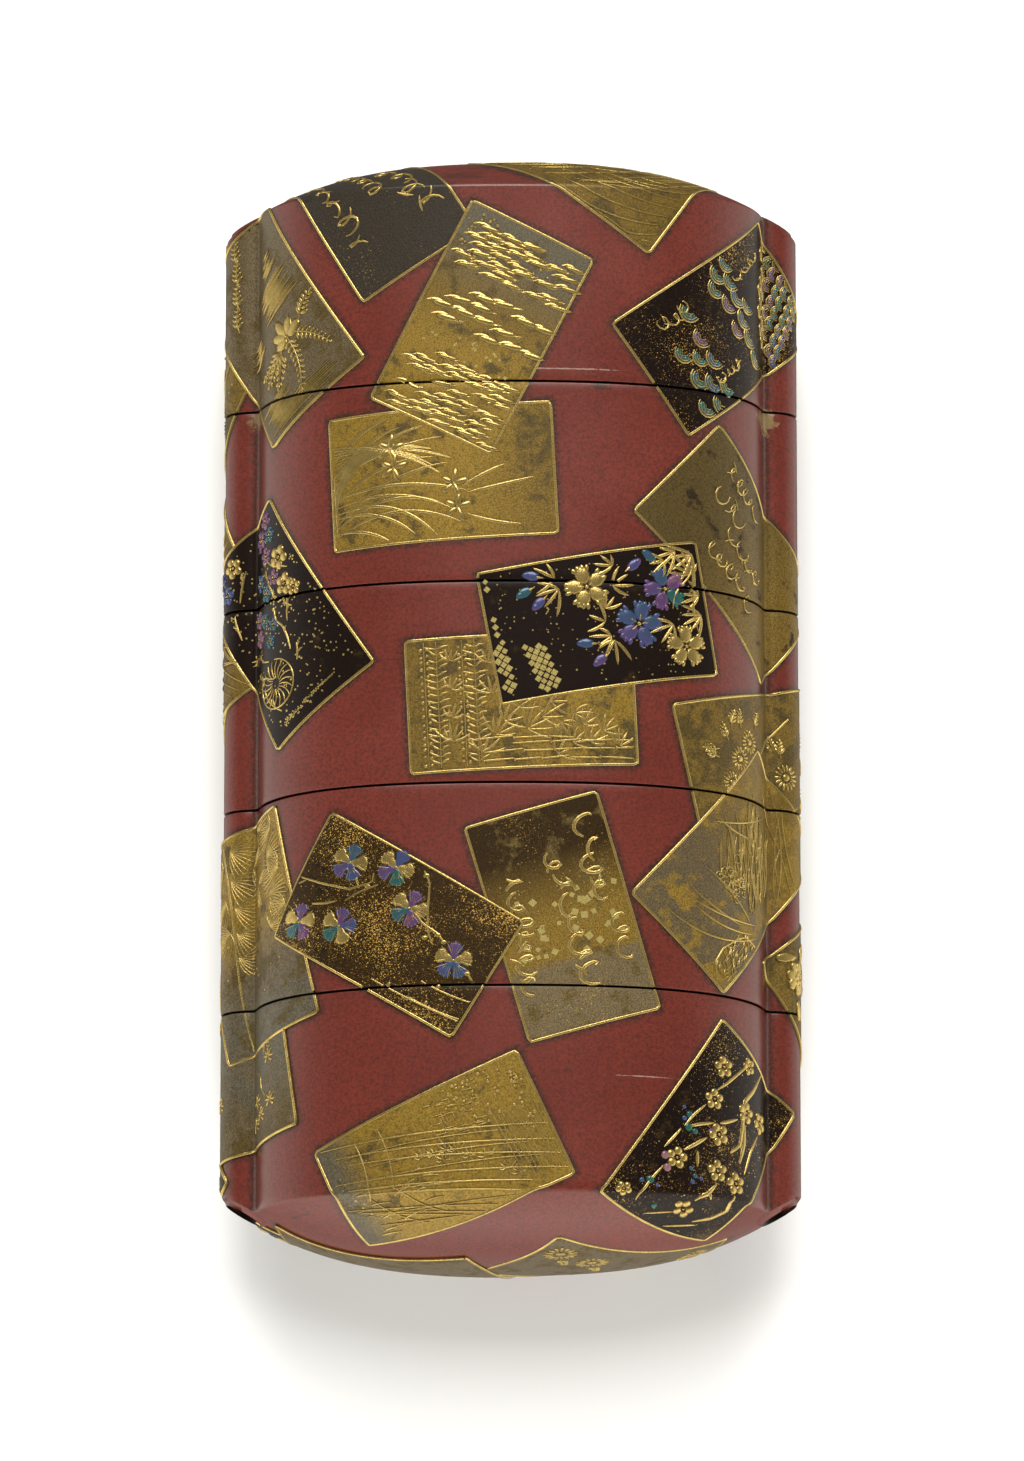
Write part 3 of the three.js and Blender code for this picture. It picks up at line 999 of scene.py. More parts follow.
def draw_plum(card):
    """Plum blossom with domed petals on dark lacquer."""
    for u, v, radius, turn in (
        (-6.1, 3.1, 1.25, 100), (-5.2, 0.9, 1.2, 60), (1.0, 3.6, 1.25, 80), (1.5, 1.4, 1.2, 75),
        (-1.3, -0.4, 1.25, 95), (-3.6, -2.6, 1.15, 70), (-6.7, -3.5, 1.2, 80), (3.2, -2.4, 1.2, 60),
        (6.8, 1.0, 1.2, 40), (8.6, -4.6, 0.9, 30), (-9.0, -1.2, 1.0, 90),
    ):
        plum_blossom(card, u, v, 0.86 * radius, turn)
    for points, width in (
        ([(-9.9, 0.8), (-7.6, 0.6), (-6.0, 0.2), (-4.0, 1.2), (-2.2, 2.0), (-0.8, 1.5)], 0.55),
        ([(-4.2, 1.4), (-2.6, 2.4), (-0.8, 2.9)], 0.5),
        ([(-9.9, -1.0), (-8.0, -1.7), (-5.6, -2.4), (-4.4, -2.9)], 0.24),
        ([(2.0, 4.2), (4.2, 4.8), (6.2, 4.0), (7.6, 2.6)], 0.55), ([(2.6, 2.0), (4.0, 1.8), (5.4, 1.4)], 0.4),
        ([(3.6, 1.8), (4.2, 2.6)], 0.25), ([(-0.2, -1.2), (1.2, -1.8), (2.2, -2.3)], 0.32),
        ([(1.4, -1.2), (2.6, -0.4)], 0.28), ([(-1.8, -1.4), (-0.8, -2.4), (0.2, -3.2)], 0.28),
        ([(-2.6, -3.0), (-1.0, -3.4), (0.4, -3.5)], 0.22), ([(4.6, -3.0), (6.4, -3.2), (8.8, -3.1)], 0.22),
        ([(0.8, -3.6), (3.2, -3.9)], 0.22), ([(-3.9, 0.4), (-2.8, -0.4), (-2.2, -0.9)], 0.3),
        ([(-4.8, 3.4), (-2.8, 3.4), (-0.4, 3.9)], 0.2), ([(7.6, 0.4), (9.4, -1.8)], 0.2),
        ([(7.8, 3.2), (9.6, 0.6)], 0.22),
    ):
        card.line(points, 1.4 * width, 0.7)
    for u, v, size, tint in (
        (3.2, 0.5, 0.45, 0.55), (3.4, -0.1, 0.5, 0.15), (4.0, 0.0, 0.5, 0.42), (3.1, -0.8, 0.45, 0.2),
        (-1.0, -1.1, 0.7, 0.85), (0.2, -3.1, 0.8, 0.05), (-0.8, -3.7, 0.7, 0.05), (0.1, -2.4, 0.6, 0.15),
        (3.7, -3.4, 0.8, 0.9), (4.5, -2.6, 0.8, 0.9), (6.4, -3.2, 0.8, 0.05), (6.9, -3.8, 0.5, 0.3),
        (-0.2, -3.9, 0.5, 0.4), (-1.0, -4.5, 0.4, 0.5), (8.2, -1.4, 0.6, 0.05), (6.4, -2.4, 0.4, 0.45),
    ):
        card.leaf(u, v, 0, size, size, 0.09, tint)
    scattered_squares(card, -9.5, 9.5, -5.6, 5.4, 80, 0.1)


def draw_crescents(card):
    """Shell crescents edged with gold, with a few strokes between."""
    rng = card.rng
    tints = (0.1, 0.24, 0.55, 0.68)

    def crescent(u, v, radius, turn, tint):
        for share, width in ((1.0, 0.18), (0.78, 0.1), (0.56, 0.1), (0.34, 0.1)):
            card.line(ring_path(u, v, radius * share, turn - 88, turn + 88), width, 0.5)
        for side in (-56, -19, 19, 56):
            spot = ahead(u, v, turn + side, 0.6 * radius)
            card.leaf(*spot, turn + side + 90, 0.8 * radius, 0.7 * radius, 0.09, tint)

    for u, v, turn in (
        (-3.2, 3.2, 200), (-6.0, 0.3, 200), (-4.7, -0.8, 195), (-3.5, 0.6, 190), (-3.4, -1.6, 200),
        (-5.9, -2.4, 190), (-4.8, -3.4, 190), (-3.6, -4.4, 200), (-6.8, -4.9, 200), (-5.2, -5.4, 200),
        (0.6, 3.6, 190), (1.6, 4.6, 190), (3.0, 5.0, 200), (2.6, 3.4, 195), (1.2, 1.8, 190), (2.6, 1.8, 200),
        (3.4, 0.6, 200), (0.8, -0.6, 190), (2.2, -0.2, 190), (2.0, -2.0, 190), (1.9, -4.0, 190),
    ):
        crescent(u, v, rng.uniform(0.85, 1.1), turn, rng.choice(tints))
    for row in range(7):
        for column in range(7):
            u, v = 4.6 + 0.95 * row + 0.3 * (column % 2), -5.6 + 1.05 * column + 0.5 * row
            if v < 6 and v < u * 1.05 - 6.4:
                crescent(u, v, 0.72, 140, rng.choice(tints))
    for u, v, turn, length, width in (
        (-6.6, 3.4, 4, 4.0, 0.2), (-4.4, -3.4, 0, 3.4, 0.2), (3.0, 3.4, 6, 4.6, 0.18),
    ):
        running_strokes(card, u, v, turn, length, 1.0, width)


def draw_flecked_flowers(card):
    """Small flowers of gold and shell among flecks and twigs, and a wheel of spokes."""
    rng = card.rng
    scattered_squares(card, -9.4, 9.4, -5.6, 5.6, 330, 0.15)
    for _ in range(120):
        reach = rng.random()
        card.square(-9.2 + 0.7 * rng.random() * (1 - reach) + 0.6 * reach, 4.2 - 7.0 * reach, 20, 0.12)
    for u, v, radius, tint in (
        (2.0, -3.2, 1.1, None), (4.6, -4.0, 1.2, None), (0.9, -3.9, 0.8, None), (3.6, -2.4, 0.8, 0.78),
        (0.8, 2.6, 0.9, 0.85), (2.4, 1.8, 0.9, 0.8), (1.4, 0.9, 0.8, 0.2), (0.0, 0.0, 0.7, 0.25),
        (3.2, -0.8, 0.9, 0.22), (5.0, -0.4, 0.9, 0.3), (8.2, -2.6, 1.1, 0.82), (9.0, -4.4, 0.9, 0.8),
        (7.4, -4.2, 0.8, 0.15), (8.6, 1.4, 1.0, None), (7.0, 3.4, 0.9, 0.45), (6.2, -2.6, 0.9, 0.8),
        (-1.0, 1.2, 0.7, 0.2), (8.9, 3.6, 0.9, 0.5),
    ):
        plum_blossom(card, u, v, radius, rng.uniform(0, 72), (tint,))
    for u, v, turn, length in (
        (-3.6, -0.4, 0, 5.0), (-1.2, -1.6, 330, 3.0), (-0.4, -2.8, 20, 3.0), (1.8, -1.4, 10, 3.2),
        (-5.0, -0.4, 330, 1.6), (3.0, -4.4, 30, 4.0), (5.4, 2.6, 300, 3.0), (2.4, 4.4, 330, 2.4),
        (-2.4, 2.4, 40, 3.6), (-7.6, 3.6, 20, 3.2), (-4.4, 2.6, 50, 3.0),
    ):
        forked_twig(card, u, v, turn, length, 0.24, 3, 0.8)
    u, v = -4.9, 2.8
    spokes = [(ahead(u, v, heading, 0.5), ahead(u, v, heading, 2.2), 0.25) for heading in range(0, 360, 20)]
    card.bows(spokes, 0.14, 0.5)
    card.line(ring_path(u, v, 2.3, 30, 330, 26), 0.16, 0.3)


def draw_mist_sprig(card):
    """A lobed leaf and fronds between bands of fine streaks."""
    rng = card.rng
    for u_low, u_high, v_low, v_high in (
        (-9.6, -8.2, -4.6, 5.8), (-8.2, -6.4, 0.6, 5.8), (0.0, 3.4, -5.4, 0.4), (4.0, 6.0, -4.8, -1.4),
        (-1.6, 0.4, 1.6, 4.6),
    ):
        for u in np.arange(u_low, u_high, 0.2):
            top = v_high - rng.uniform(0, 1.4)
            card.line([(u, top), (u + 0.06, v_low + rng.uniform(0, 1.8))], rng.uniform(0.1, 0.2), 0.8)
    frond(card, -3.0, -1.2, 165, 5.4, 9, 0.9, 0.5, 55)
    frond(card, -3.2, -2.0, 215, 4.2, 8, 0.8, 0.3, 55)
    for turn in (115, 140, 95):
        frond(card, -3.4, 0.0, turn, 3.4, 5, 1.1, 0.2, 45)
    for turn, length in ((10, 2.6), (50, 2.2), (-35, 2.2), (90, 1.8), (-75, 2.2)):
        card.leaf(*ahead(-3.2, -1.2, turn, length * 0.5), turn, length, 1.15, 0.1)
        card.line([(-3.2, -1.2), ahead(-3.2, -1.2, turn, length)], 0.12, 0.5)
    frond(card, -2.8, -3.2, 300, 2.6, 5, 1.0, 0.3, 50)
    for u, v in ((2.6, 3.6), (4.4, 2.4), (6.2, 1.2), (8.0, 0.2)):
        frond(card, u, v, -30, 2.2, 4, 0.8, 0.2, 50)


def draw_daisies(card):
    """Daisies with leaves beside a slanting stem."""
    for u, v, radius in (
        (-4.1, 0.5, 1.15), (-5.6, -1.6, 1.1), (-2.4, 1.9, 1.15), (2.5, -1.6, 1.25), (7.0, 1.2, 1.2),
        (6.0, -3.4, 1.1),
    ):
        daisy(card, u, v, radius)
    for u, v, turn in (
        (-6.6, 0.8, 140), (-5.2, 2.2, 100), (-3.4, 3.2, 80), (-6.4, 1.6, 170), (2.4, 0.2, 80),
        (2.0, 0.6, 100), (-1.2, 3.0, 60), (-4.6, 3.4, 60), (5.4, -1.6, 60), (8.0, 2.8, 70),
    ):
        frond(card, u, v, turn, 1.4, 3, 0.85, 0.1, 40)
    card.line([(-9.9, -5.2), (-4.8, -2.0), (0.0, 1.2), (4.0, 3.6)], 0.26, 0.2)
    for u in np.arange(-9, 9, 0.9):
        card.blade(u, -5.8, card.rng.uniform(30, 70), card.rng.uniform(1.6, 3.2), 0.2, 0.15, 0.8)


def draw_brushwood(card):
    """A sheaf of fine grass beside arching blades and a rock."""
    rng = card.rng
    for _ in range(95):
        reach = rng.uniform(1.4, 4.6)
        turn = rng.uniform(35, 62)
        u, v = rng.uniform(-2.6, 3.4), rng.uniform(-4.0, 1.6)
        card.blade(u, v, turn, reach, rng.uniform(-0.3, 0.3), rng.uniform(0.1, 0.17), 0.7)
    blades = (
        ((-2.6, -5.6), (-8.8, 3.0), 1.6), ((-3.0, -5.0), (-6.6, 1.8), 0.9), ((-4.0, -3.2), (-5.6, 3.2), 0.4),
        ((-2.8, -4.0), (-3.2, 3.0), -0.3), ((-2.2, -4.6), (-6.4, 2.2), 0.6), ((3.0, 1.2), (1.2, 5.4), 0.4),
        ((6.4, 1.2), (0.6, 5.2), 0.4), ((2.0, -5.6), (9.6, 2.2), -0.8), ((3.0, -5.6), (8.4, -0.2), 0.6),
        ((4.0, -5.8), (8.0, 3.4), -0.5), ((5.0, -5.6), (9.4, 0.4), 0.4), ((2.4, -5.2), (6.6, -2.2), 0.5),
    )
    card.bows(blades, 0.2, 0.8, 20)
    rock = [(-9.9, -4.8), (-8.8, -3.6), (-7.2, -3.3), (-5.2, -3.8), (-4.2, -4.4), (-3.8, -5.8)]
    card.line(rock, 0.22, 0.3)
    for _ in range(90):
        u, v = rng.uniform(-9.4, -4.4), rng.uniform(-5.8, -3.9)
        card.blade(u, v, rng.uniform(-20, 70), 0.7, 0.1, 0.12, 0.7)
    for _ in range(26):
        u, v = rng.uniform(-2.8, 0.2), rng.uniform(-1.6, 1.8)
        card.line(ring_path(u, v, rng.uniform(0.25, 0.5), 0, 300), 0.1, 0.3)


def draw_pine(card):
    """Fans of pine needles."""
    rng = card.rng
    for u, v, turn, reach in (
        (-8.4, 5.0, 250, 2.6), (-6.2, 3.8, 70, 2.6), (-4.4, 5.2, 250, 2.8), (-2.6, 3.4, 60, 2.6),
        (-8.8, -1.0, 60, 2.8), (-6.2, -1.6, 70, 2.8), (-3.6, -1.8, 80, 2.6), (-1.2, -2.2, 60, 2.4),
        (1.0, -2.6, 80, 2.2), (-7.4, -2.4, 260, 2.6), (-4.2, -2.6, 280, 2.6), (-1.4, -2.8, 290, 2.4),
        (0.4, 2.8, 120, 2.2), (-0.8, 5.2, 270, 2.2), (-9.2, 2.4, 80, 2.4), (-6.6, 0.8, 60, 2.2),
        (-4.4, 1.6, 50, 2.2),
    ):
        for side in np.linspace(-62, 62, 13):
            card.blade(u, v, turn + side, reach * rng.uniform(0.85, 1.05), 0.004 * side, 0.13, 0.5)
    card.line(swing((-9.8, -1.9), (9.8, -3.4), 0.2), 0.3, 0.3)
    bead_cloud(card, -2, 6, -4.6, 4.6, 16, 0.14, 0.3)


def draw_maple(card):
    """Small sprigs of pointed leaves."""
    for u, v in (
        (1.6, 3.4), (2.8, 3.6), (6.8, 3.2), (7.6, 1.4), (6.2, 0.8), (8.2, 0.2), (-3.4, 2.6), (-6.2, 0.4),
        (-2.0, -3.4), (5.0, -4.0),
    ):
        base = card.rng.uniform(0, 72)
        for i in range(7):
            turn = base + 46 * i
            card.leaf(*ahead(u, v, turn, 0.42), turn, 0.85, 0.24, 0.08)
    card.line([(3.2, 1.0), (4.2, 1.9), (5.2, 1.9), (6.4, 2.6)], 0.16, 0.6)
    card.line(bow((-6.0, 0.6), (-2.0, 2.4), 0.4), 0.16, 0.6)


def draw_grasses(card):
    """Arching grass with fine seed heads."""
    rng = card.rng
    for i in range(16):
        start = (-9.4 + 0.9 * i * rng.uniform(0.9, 1.1), -5.8)
        end = (start[0] + rng.uniform(4.5, 9.0), rng.uniform(1.0, 5.4))
        card.line(bow(start, end, rng.uniform(1.0, 2.2), 20), 0.17, 0.8)
    for i in range(9):
        v = i - 3.0
        end = (-9.8 + rng.uniform(6, 13), v + rng.uniform(1.5, 3.4))
        card.line(bow((-9.8, v), end, 1.2, 20), 0.16, 0.8)
    bead_cloud(card, -6, 8, 2.0, 5.6, 24, 0.1, 0.22)


def draw_peony(card):
    """One large flower with leaves."""
    for turns, reach, length, width, rise in (
        (range(0, 360, 45), 0.9, 1.7, 1.2, 0.09), (range(20, 380, 60), 0.4, 0.9, 0.7, 0.13),
    ):
        for turn in turns:
            card.leaf(*ahead(-7.0, 2.8, turn, reach), turn, length, width, rise)
    for u, v, turn in (
        (-7.4, 5.2, 150), (-5.2, 4.4, 40), (-8.8, 0.4, 240), (-5.4, 0.6, 310), (-3.2, 2.4, 0),
        (-1.0, 0.4, 320),
    ):
        card.leaf(u, v, turn, 2.2, 0.9, 0.08)
        card.line([ahead(u, v, turn, -1.0), ahead(u, v, turn, 1.0)], 0.13, 0.5)
    frond(card, -4.0, 1.0, -20, 8.0, 8, 1.3, 0.8, 45)
    frond(card, 0.0, -1.6, 30, 6.0, 6, 1.2, 0.5, 45)


def draw_flower_corner(card):
    """A few small daisies near one corner."""
    for u, v in ((-7.9, 3.4), (-3.6, 2.4), (7.4, 3.4), (5.0, -3.4)):
        daisy(card, u, v, 1.6)
        frond(card, u + 0.8, v - 1.2, -40, 1.8, 4, 0.8, 0.1, 45)


# --- the pile of cards --------------------------------------------------------------------

# The colours along a card, each with the u where it is reached, then the colour of its
# patches, how much they cover, how much dust, and how bright its raised gold is.
GROUNDS = {
    "gold": (((2, "gold"), (9, "dark_gold")), "olive", 0.4, 0.25, 0.9),
    "gold to grey": (((-1, "gold"), (3, "umber"), (7, "grey")), "olive", 0.45, 0.25, 0.8),
    "gold over olive": (((-3, "gold"), (1.5, "dark_gold"), (7, "grey")), "olive", 0.45, 0.3, 0.85),
    "grey to gold": (((-9, "grey"), (-6, "gold")), "olive", 0.36, 0.3, 0.95),
    "dark gold": (((0, "dark_gold"),), "olive", 0.5, 0.3, 0.6),
    "olive": (((0, "olive"),), "dark_gold", 0.6, 0.3, 0.9),
    "olive to gold": (((-8, "dark_gold"), (4, "gold")), "olive", 0.5, 0.3, 0.95),
    "mottled olive": (((-3, "umber"), (5, "dark_gold")), "gold", 0.5, 0.3, 0.85),
    "olive to dull gold": (((-4, "olive"), (6, "dark_gold")), "brown", 0.34, 0.5, 0.8),
    "brown to grey": (
        ((-6, "brown"), (0, "dark_gold"), (3.6, "dark_gold"), (4.2, "umber")), "olive", 0.36, 0.9, 1.0,
    ),
    "umber": (((0, "umber"),), "olive", 0.45, 0.2, 0.65),
    "grey": (((4, "grey"), (9, "olive")), "umber", 0.5, 0.25, 0.7),
    "brown": (((0, "brown"),), "black", 0.3, 1.35, 0.95),
    "charcoal": (((0, "charcoal"),), "black", 0.12, 0.75, 0.85),
    "black": (((0, "black"),), "brown", 0.25, 0.45, 1.0),
    "dusted black": (((0, "black"),), "brown", 0.3, 1.1, 1.0),
}
DARK = ("black", "brown", "charcoal")

# s, q, turn, ground and picture of each card, from the bottom of the pile to its top.
CARD_TABLE = (
    (48, 40, 24, "gold", draw_irises),
    (68, 38, -48, "dusted black", draw_plum),
    (84, 41, 12, "dark gold", draw_pine),
    (58, 22, 78, "olive", draw_grasses),
    (75, 20, -20, "gold to grey", draw_waves),
    (45, 14, -62, "dusted black", draw_crescents),
    (89, 2, 58, "dark gold", draw_daisies),
    (62, 2, 8, "gold", draw_bamboo),
    (78, -4, 118, "brown", draw_blossom_branch),
    (47, -6, 33, "umber", draw_mist_sprig),
    (60, -18, -28, "black", draw_pinks),
    (80, -26, 14, "gold over olive", draw_pine),
    (50, -32, 66, "gold", draw_waves),
    (67, -37, -70, "grey", draw_maple),
    (84, -45, 40, "black", draw_plum),
    (54, -55.2, 143, "umber", draw_flower_corner),
    (73.8, -52.6, 22, "umber", draw_nothing),
    (-34.5, 30.5, 61, "dark gold", draw_pine),
    (-24.2, 35.2, 125, "umber", draw_mist_sprig),
    (-33.3, 10.3, 120, "dark gold", draw_grasses),
    (-23.2, 7.0, 124.7, "black", draw_flecked_flowers),
    (22.6, 13.4, -43.8, "olive to dull gold", draw_strokes_rows),
    (20.9, 34.3, 36, "dusted black", draw_crescents),
    (0.9, -1.8, 2.8, "olive to gold", draw_bamboo),
    (25.9, -5.2, 13.7, "olive", draw_daisies),
    (22.1, -15.9, 47.1, "mottled olive", draw_brushwood),
    (8.0, 5.7, 10.5, "black", draw_pinks),
    (4.6, -21.5, -73.6, "brown to grey", draw_strokes_squares),
    (-27.7, -30.4, -79.7, "grey", draw_maple),
    (-26.1, -21.2, -75.1, "gold to grey", draw_pine),
    (-10.8, -22.0, -31.5, "brown", draw_blossom_branch),
    (-6.3, 19.2, 3.1, "gold", draw_irises),
    (-13.7, 47.4, 122, "charcoal", draw_strokes_dark),
    (-2.7, 32.8, 62.9, "gold over olive", draw_waves),
    (7.8, 50.9, 144.3, "dark gold", draw_grasses),
    (-6.2, -43.5, 24.9, "grey to gold", draw_hedge),
    (18.7, -41.7, 234.7, "dusted black", draw_plum),
    (37.6, -22.5, 36.5, "olive", draw_peony),
)


def laid_cards(sizes):
    """The cards with their pictures drawn and their heights in the pile worked out."""
    cards = []
    for number, (s, q, turn, ground, picture) in enumerate(CARD_TABLE):
        card = Card(number, s, q, turn, ground, sizes)
        under = [other.level for other in cards if card.overlaps(other)]
        card.level = 1 + max(under, default=0)
        card.lift = card.level * sizes.card_rise / MM
        picture(card)
        cards.append(card)
    return cards


def clip_polygon(polygon, card):
    """The part of a convex polygon of s, q pairs that lies on the card."""
    for axis, half in ((card.along, card.half[0]), (card.across, card.half[1])):
        for sign in (1, -1):
            depths = [half - sign * float(np.dot(p - (card.s, card.q), axis)) for p in polygon]
            kept = []
            for i, (point, depth) in enumerate(zip(polygon, depths)):
                before, depth_before = polygon[i - 1], depths[i - 1]
                if (depth > 0) != (depth_before > 0):
                    share = depth_before / (depth_before - depth)
                    kept.append(before + share * (point - before))
                if depth > 0:
                    kept.append(point)
            polygon = kept
            if len(polygon) < 3:
                return []
    return polygon


RIDGE_ROWS = np.array([-0.35, -0.21, -0.07, 0.07, 0.21, 0.35])
DOME_REACH = 22  # how far over an end a card may reach


def card_cells(card, index, surface):
    """The part of a card that lies on one section, as polygons of s, q pairs."""
    corners = card.corners()
    columns = np.unique(np.concatenate([lattice_columns() + k * WAY_ROUND for k in (-1, 0, 1)]))
    columns = columns[(columns > corners[:, 0].min() - 1) & (columns < corners[:, 0].max() + 1)]
    rows = lattice_rows(index, surface.lip)
    if index == BASE:
        beyond = np.arange(-RIDGE - DOME_REACH, -RIDGE - 0.5, ROW_SPACING)
        rows = np.concatenate([beyond, RIDGE_ROWS - RIDGE, rows[1:]])
    if index == LID:
        beyond = np.arange(RIDGE + 0.6, RIDGE + DOME_REACH, ROW_SPACING)
        rows = np.concatenate([rows[:-1], RIDGE + RIDGE_ROWS, beyond])
    rows = rows[(rows > corners[:, 1].min() - 1) & (rows < corners[:, 1].max() + 1)]
    cells = []
    for a, b in zip(columns, columns[1:]):
        edge = float(np.min(end_height(*outline_at(np.array([a, b]))[:2])))
        on_rib = edge < RIDGE - 0.05
        for low, high in zip(rows, rows[1:]):
            if on_rib and max(abs(low), abs(high)) > edge - RIB_CORNER_RADIUS:
                continue
            cell = [np.array(p) for p in ((a, low), (a, high), (b, high), (b, low))]
            depths = [card.gap_to(*p) for p in cell]
            if min(depths) > 1.2:
                continue
            cell = clip_polygon(cell, card) if max(depths) > 0 else cell
            if len(cell) >= 3:
                cells.append(cell)
    return cells


def card_plate(card, cells, surface, sink=0.15, places_per_mm=2000):
    """Points, charts and faces of a thin closed plate over the cells, its foot sunk in the case."""
    ids, charts, faces = {}, [], []
    for cell in cells:
        face = []
        for s, q in cell:
            key = (round(s * places_per_mm), round(q * places_per_mm))
            if key not in ids:
                ids[key] = len(charts)
                charts.append((s, q))
            if ids[key] not in face:
                face.append(ids[key])
        if len(face) >= 3:
            faces.append(tuple(face))
    charts = np.array(charts)
    top, _ = surface.place(charts[:, 0], charts[:, 1], card.lift)
    bottom, _ = surface.place(charts[:, 0], charts[:, 1], -sink)
    count = len(charts)
    sides = {}
    for face in faces:
        for a, b in zip(face, face[1:] + face[:1]):
            sides[(a, b)] = True
    whole = list(faces)
    whole += [tuple(i + count for i in face[::-1]) for face in faces]
    whole += [(b, a, a + count, b + count) for a, b in sides if (b, a) not in sides]
    return np.concatenate([top, bottom]), np.concatenate([charts, charts]), whole


# --- raised lines, leaves and squares -----------------------------------------------------

LINE, LEAF, SQUARE = 0, 1, 2  # kinds of relief
LINE_RISE = 0.11
LINE_SIDES = 7
LEAF_SEGMENTS = 8
SQUARE_THICKNESS = 0.05
RIM_CORNER = 0.12
RIM_TONE = 0.95
RELIEF_CLEARANCE = 0.04  # between the tallest relief and the case's own frame


class ReliefDraft:
    """Collects, for one section, the paths and points from which Geometry Nodes make relief."""

    def __init__(self):
        self.points, self.edges = [], []
        self.kinds, self.widths, self.turns, self.sizes, self.tints = [], [], [], [], []

    def add(self, point, kind, width=0.0, turn=(0, 0, 0), size=(0, 0, 0), tint=0.0):
        self.points.append(point)
        self.kinds.append(kind)
        self.widths.append(width)
        self.turns.append(turn)
        self.sizes.append(size)
        self.tints.append(tint)
        return len(self.points) - 1

    def add_path(self, points, widths, tint):
        ids = [self.add(p, LINE, w, tint=tint) for p, w in zip(points, widths)]
        self.edges += list(zip(ids, ids[1:]))


def covered(card, cards, s, q, allowance):
    """Which places are under a card that lies over this one."""
    hidden = np.zeros(np.shape(s), bool)
    for other in cards[card.number + 1 :]:
        hidden |= other.gap_to(s, q) < -allowance
    return hidden


def section_of(q):
    """Number of the section at q, or -1 in a seam."""
    found = np.full(np.shape(q), -1)
    for index in range(len(SECTIONS)):
        low, high = section_reach(index)
        low = -np.inf if index == BASE else low
        high = np.inf if index == LID else high
        found = np.where((q > low + 0.01) & (q < high - 0.01), index, found)
    return found


def off_rib_ends(s, q):
    """Places that aren't past the slanted ends of the ribs."""
    x, z, _, _ = outline_at(s)
    edge = end_height(x, z)
    return (edge > RIDGE - 0.05) | (np.abs(q) < edge - RIB_CORNER_RADIUS)


def walk(points, step=0.15):
    """The points of a path, spread evenly."""
    points = np.asarray(points, float)
    run = np.concatenate([[0], np.cumsum(np.linalg.norm(np.diff(points, axis=0), axis=1))])
    count = max(2, int(run[-1] / step) + 1)
    even = np.linspace(0, run[-1], count)
    return np.stack([np.interp(even, run, points[:, 0]), np.interp(even, run, points[:, 1])], -1)


def runs_of(labels):
    """(start, end, label) of each stretch of equal labels that aren't negative."""
    breaks = np.flatnonzero(np.diff(labels)) + 1
    starts = np.concatenate([[0], breaks])
    ends = np.concatenate([breaks, [len(labels)]])
    return [(a, b, int(labels[a])) for a, b in zip(starts, ends) if labels[a] >= 0]


def lay_line(drafts, surface, cards, card, points, width, taper, rise, tint, keep=3):
    """Lays a path of card places on the case, cut where a card covers it and at the seams."""
    path = walk(points)
    s, q = card.to_case(path[:, 0], path[:, 1])
    labels = np.where(covered(card, cards, s, q, 0.1) | ~off_rib_ends(s, q), -1, section_of(q))
    count = len(path)
    along = np.arange(count) / (count - 1)
    widths = width * (1 - taper * np.abs(2 * along - 1) ** 3)
    radius = widths / 2
    lifts = card.lift + rise * (0.4 + 0.6 * widths / width) - radius
    for start, end, index in runs_of(labels):
        if end - start < 3:
            continue
        chosen = np.unique(np.concatenate([np.arange(start, end, keep), [end - 1]]))
        points, _ = surface.place(s[chosen], q[chosen], lifts[chosen])
        drafts[index].add_path(points, radius[chosen], tint)


def laid_on(surface, cards, card, u, v, turn, edge=0.3):
    """Section, place and Euler turn of something lying on a card, or None where it can't lie."""
    if np.any(np.abs([u, v]) > card.half - edge):
        return None
    s, q = (float(value) for value in card.to_case(u, v))
    index = int(section_of(q))
    if index < 0 or covered(card, cards, s, q, 0.0) or not off_rib_ends(s, q):
        return None
    point, out = surface.place(s, q, card.lift)
    near = card.to_case(u + 0.05 * math.cos(turn), v + 0.05 * math.sin(turn))
    tip, _ = surface.place(*near, card.lift)
    up = Vector(out)
    side = up.cross(Vector(tip - point)).normalized()
    matrix = Matrix((side.cross(up), side, up)).transposed()
    return index, point, tuple(matrix.to_euler())


def relief_drafts(sizes, surface, cards):
    """Gold and shell relief of the whole case, by section."""
    gold, shell = ([ReliefDraft() for _ in SECTIONS] for _ in range(2))
    rim_width, rim_rise = sizes.rim_width / MM, sizes.rim_rise / MM
    for card in cards:
        a, b = card.half
        c = RIM_CORNER
        ring = [(-a + c, -b), (a - c, -b), (a, -b + c), (a, b - c), (a - c, b), (-a + c, b)]
        ring += [(-a, b - c), (-a, -b + c), (-a + c, -b)]
        tone = card.ground[-1]
        room = sizes.margin / MM - RELIEF_CLEARANCE - card.lift
        lay_line(gold, surface, cards, card, ring, rim_width, 0, min(rim_rise, room), RIM_TONE)
        for points, width, taper in card.lines:
            points = points[np.all(np.abs(points) < card.half - 0.2, axis=1)]
            if len(points) > 1:
                lay_line(gold, surface, cards, card, points, width, taper, min(LINE_RISE, room), tone)
        lying = [
            (gold if tint is None else shell, LEAF, u, v, turn,
             (length / 2, width / 2, min(1.2 * rise, room)), tone if tint is None else tint)
            for u, v, turn, length, width, rise, tint in card.leaves
        ]
        lying += [
            (gold, SQUARE, u, v, turn, (size, size, SQUARE_THICKNESS), 1 + min(2 * size, 1))
            for u, v, turn, size in card.squares
        ]
        for drafts, kind, u, v, turn, size, tint in lying:
            laid = laid_on(surface, cards, card, u, v, turn)
            if laid:
                index, point, euler = laid
                drafts[index].add(point, kind, 0.0, euler, size, tint)
    return gold, shell


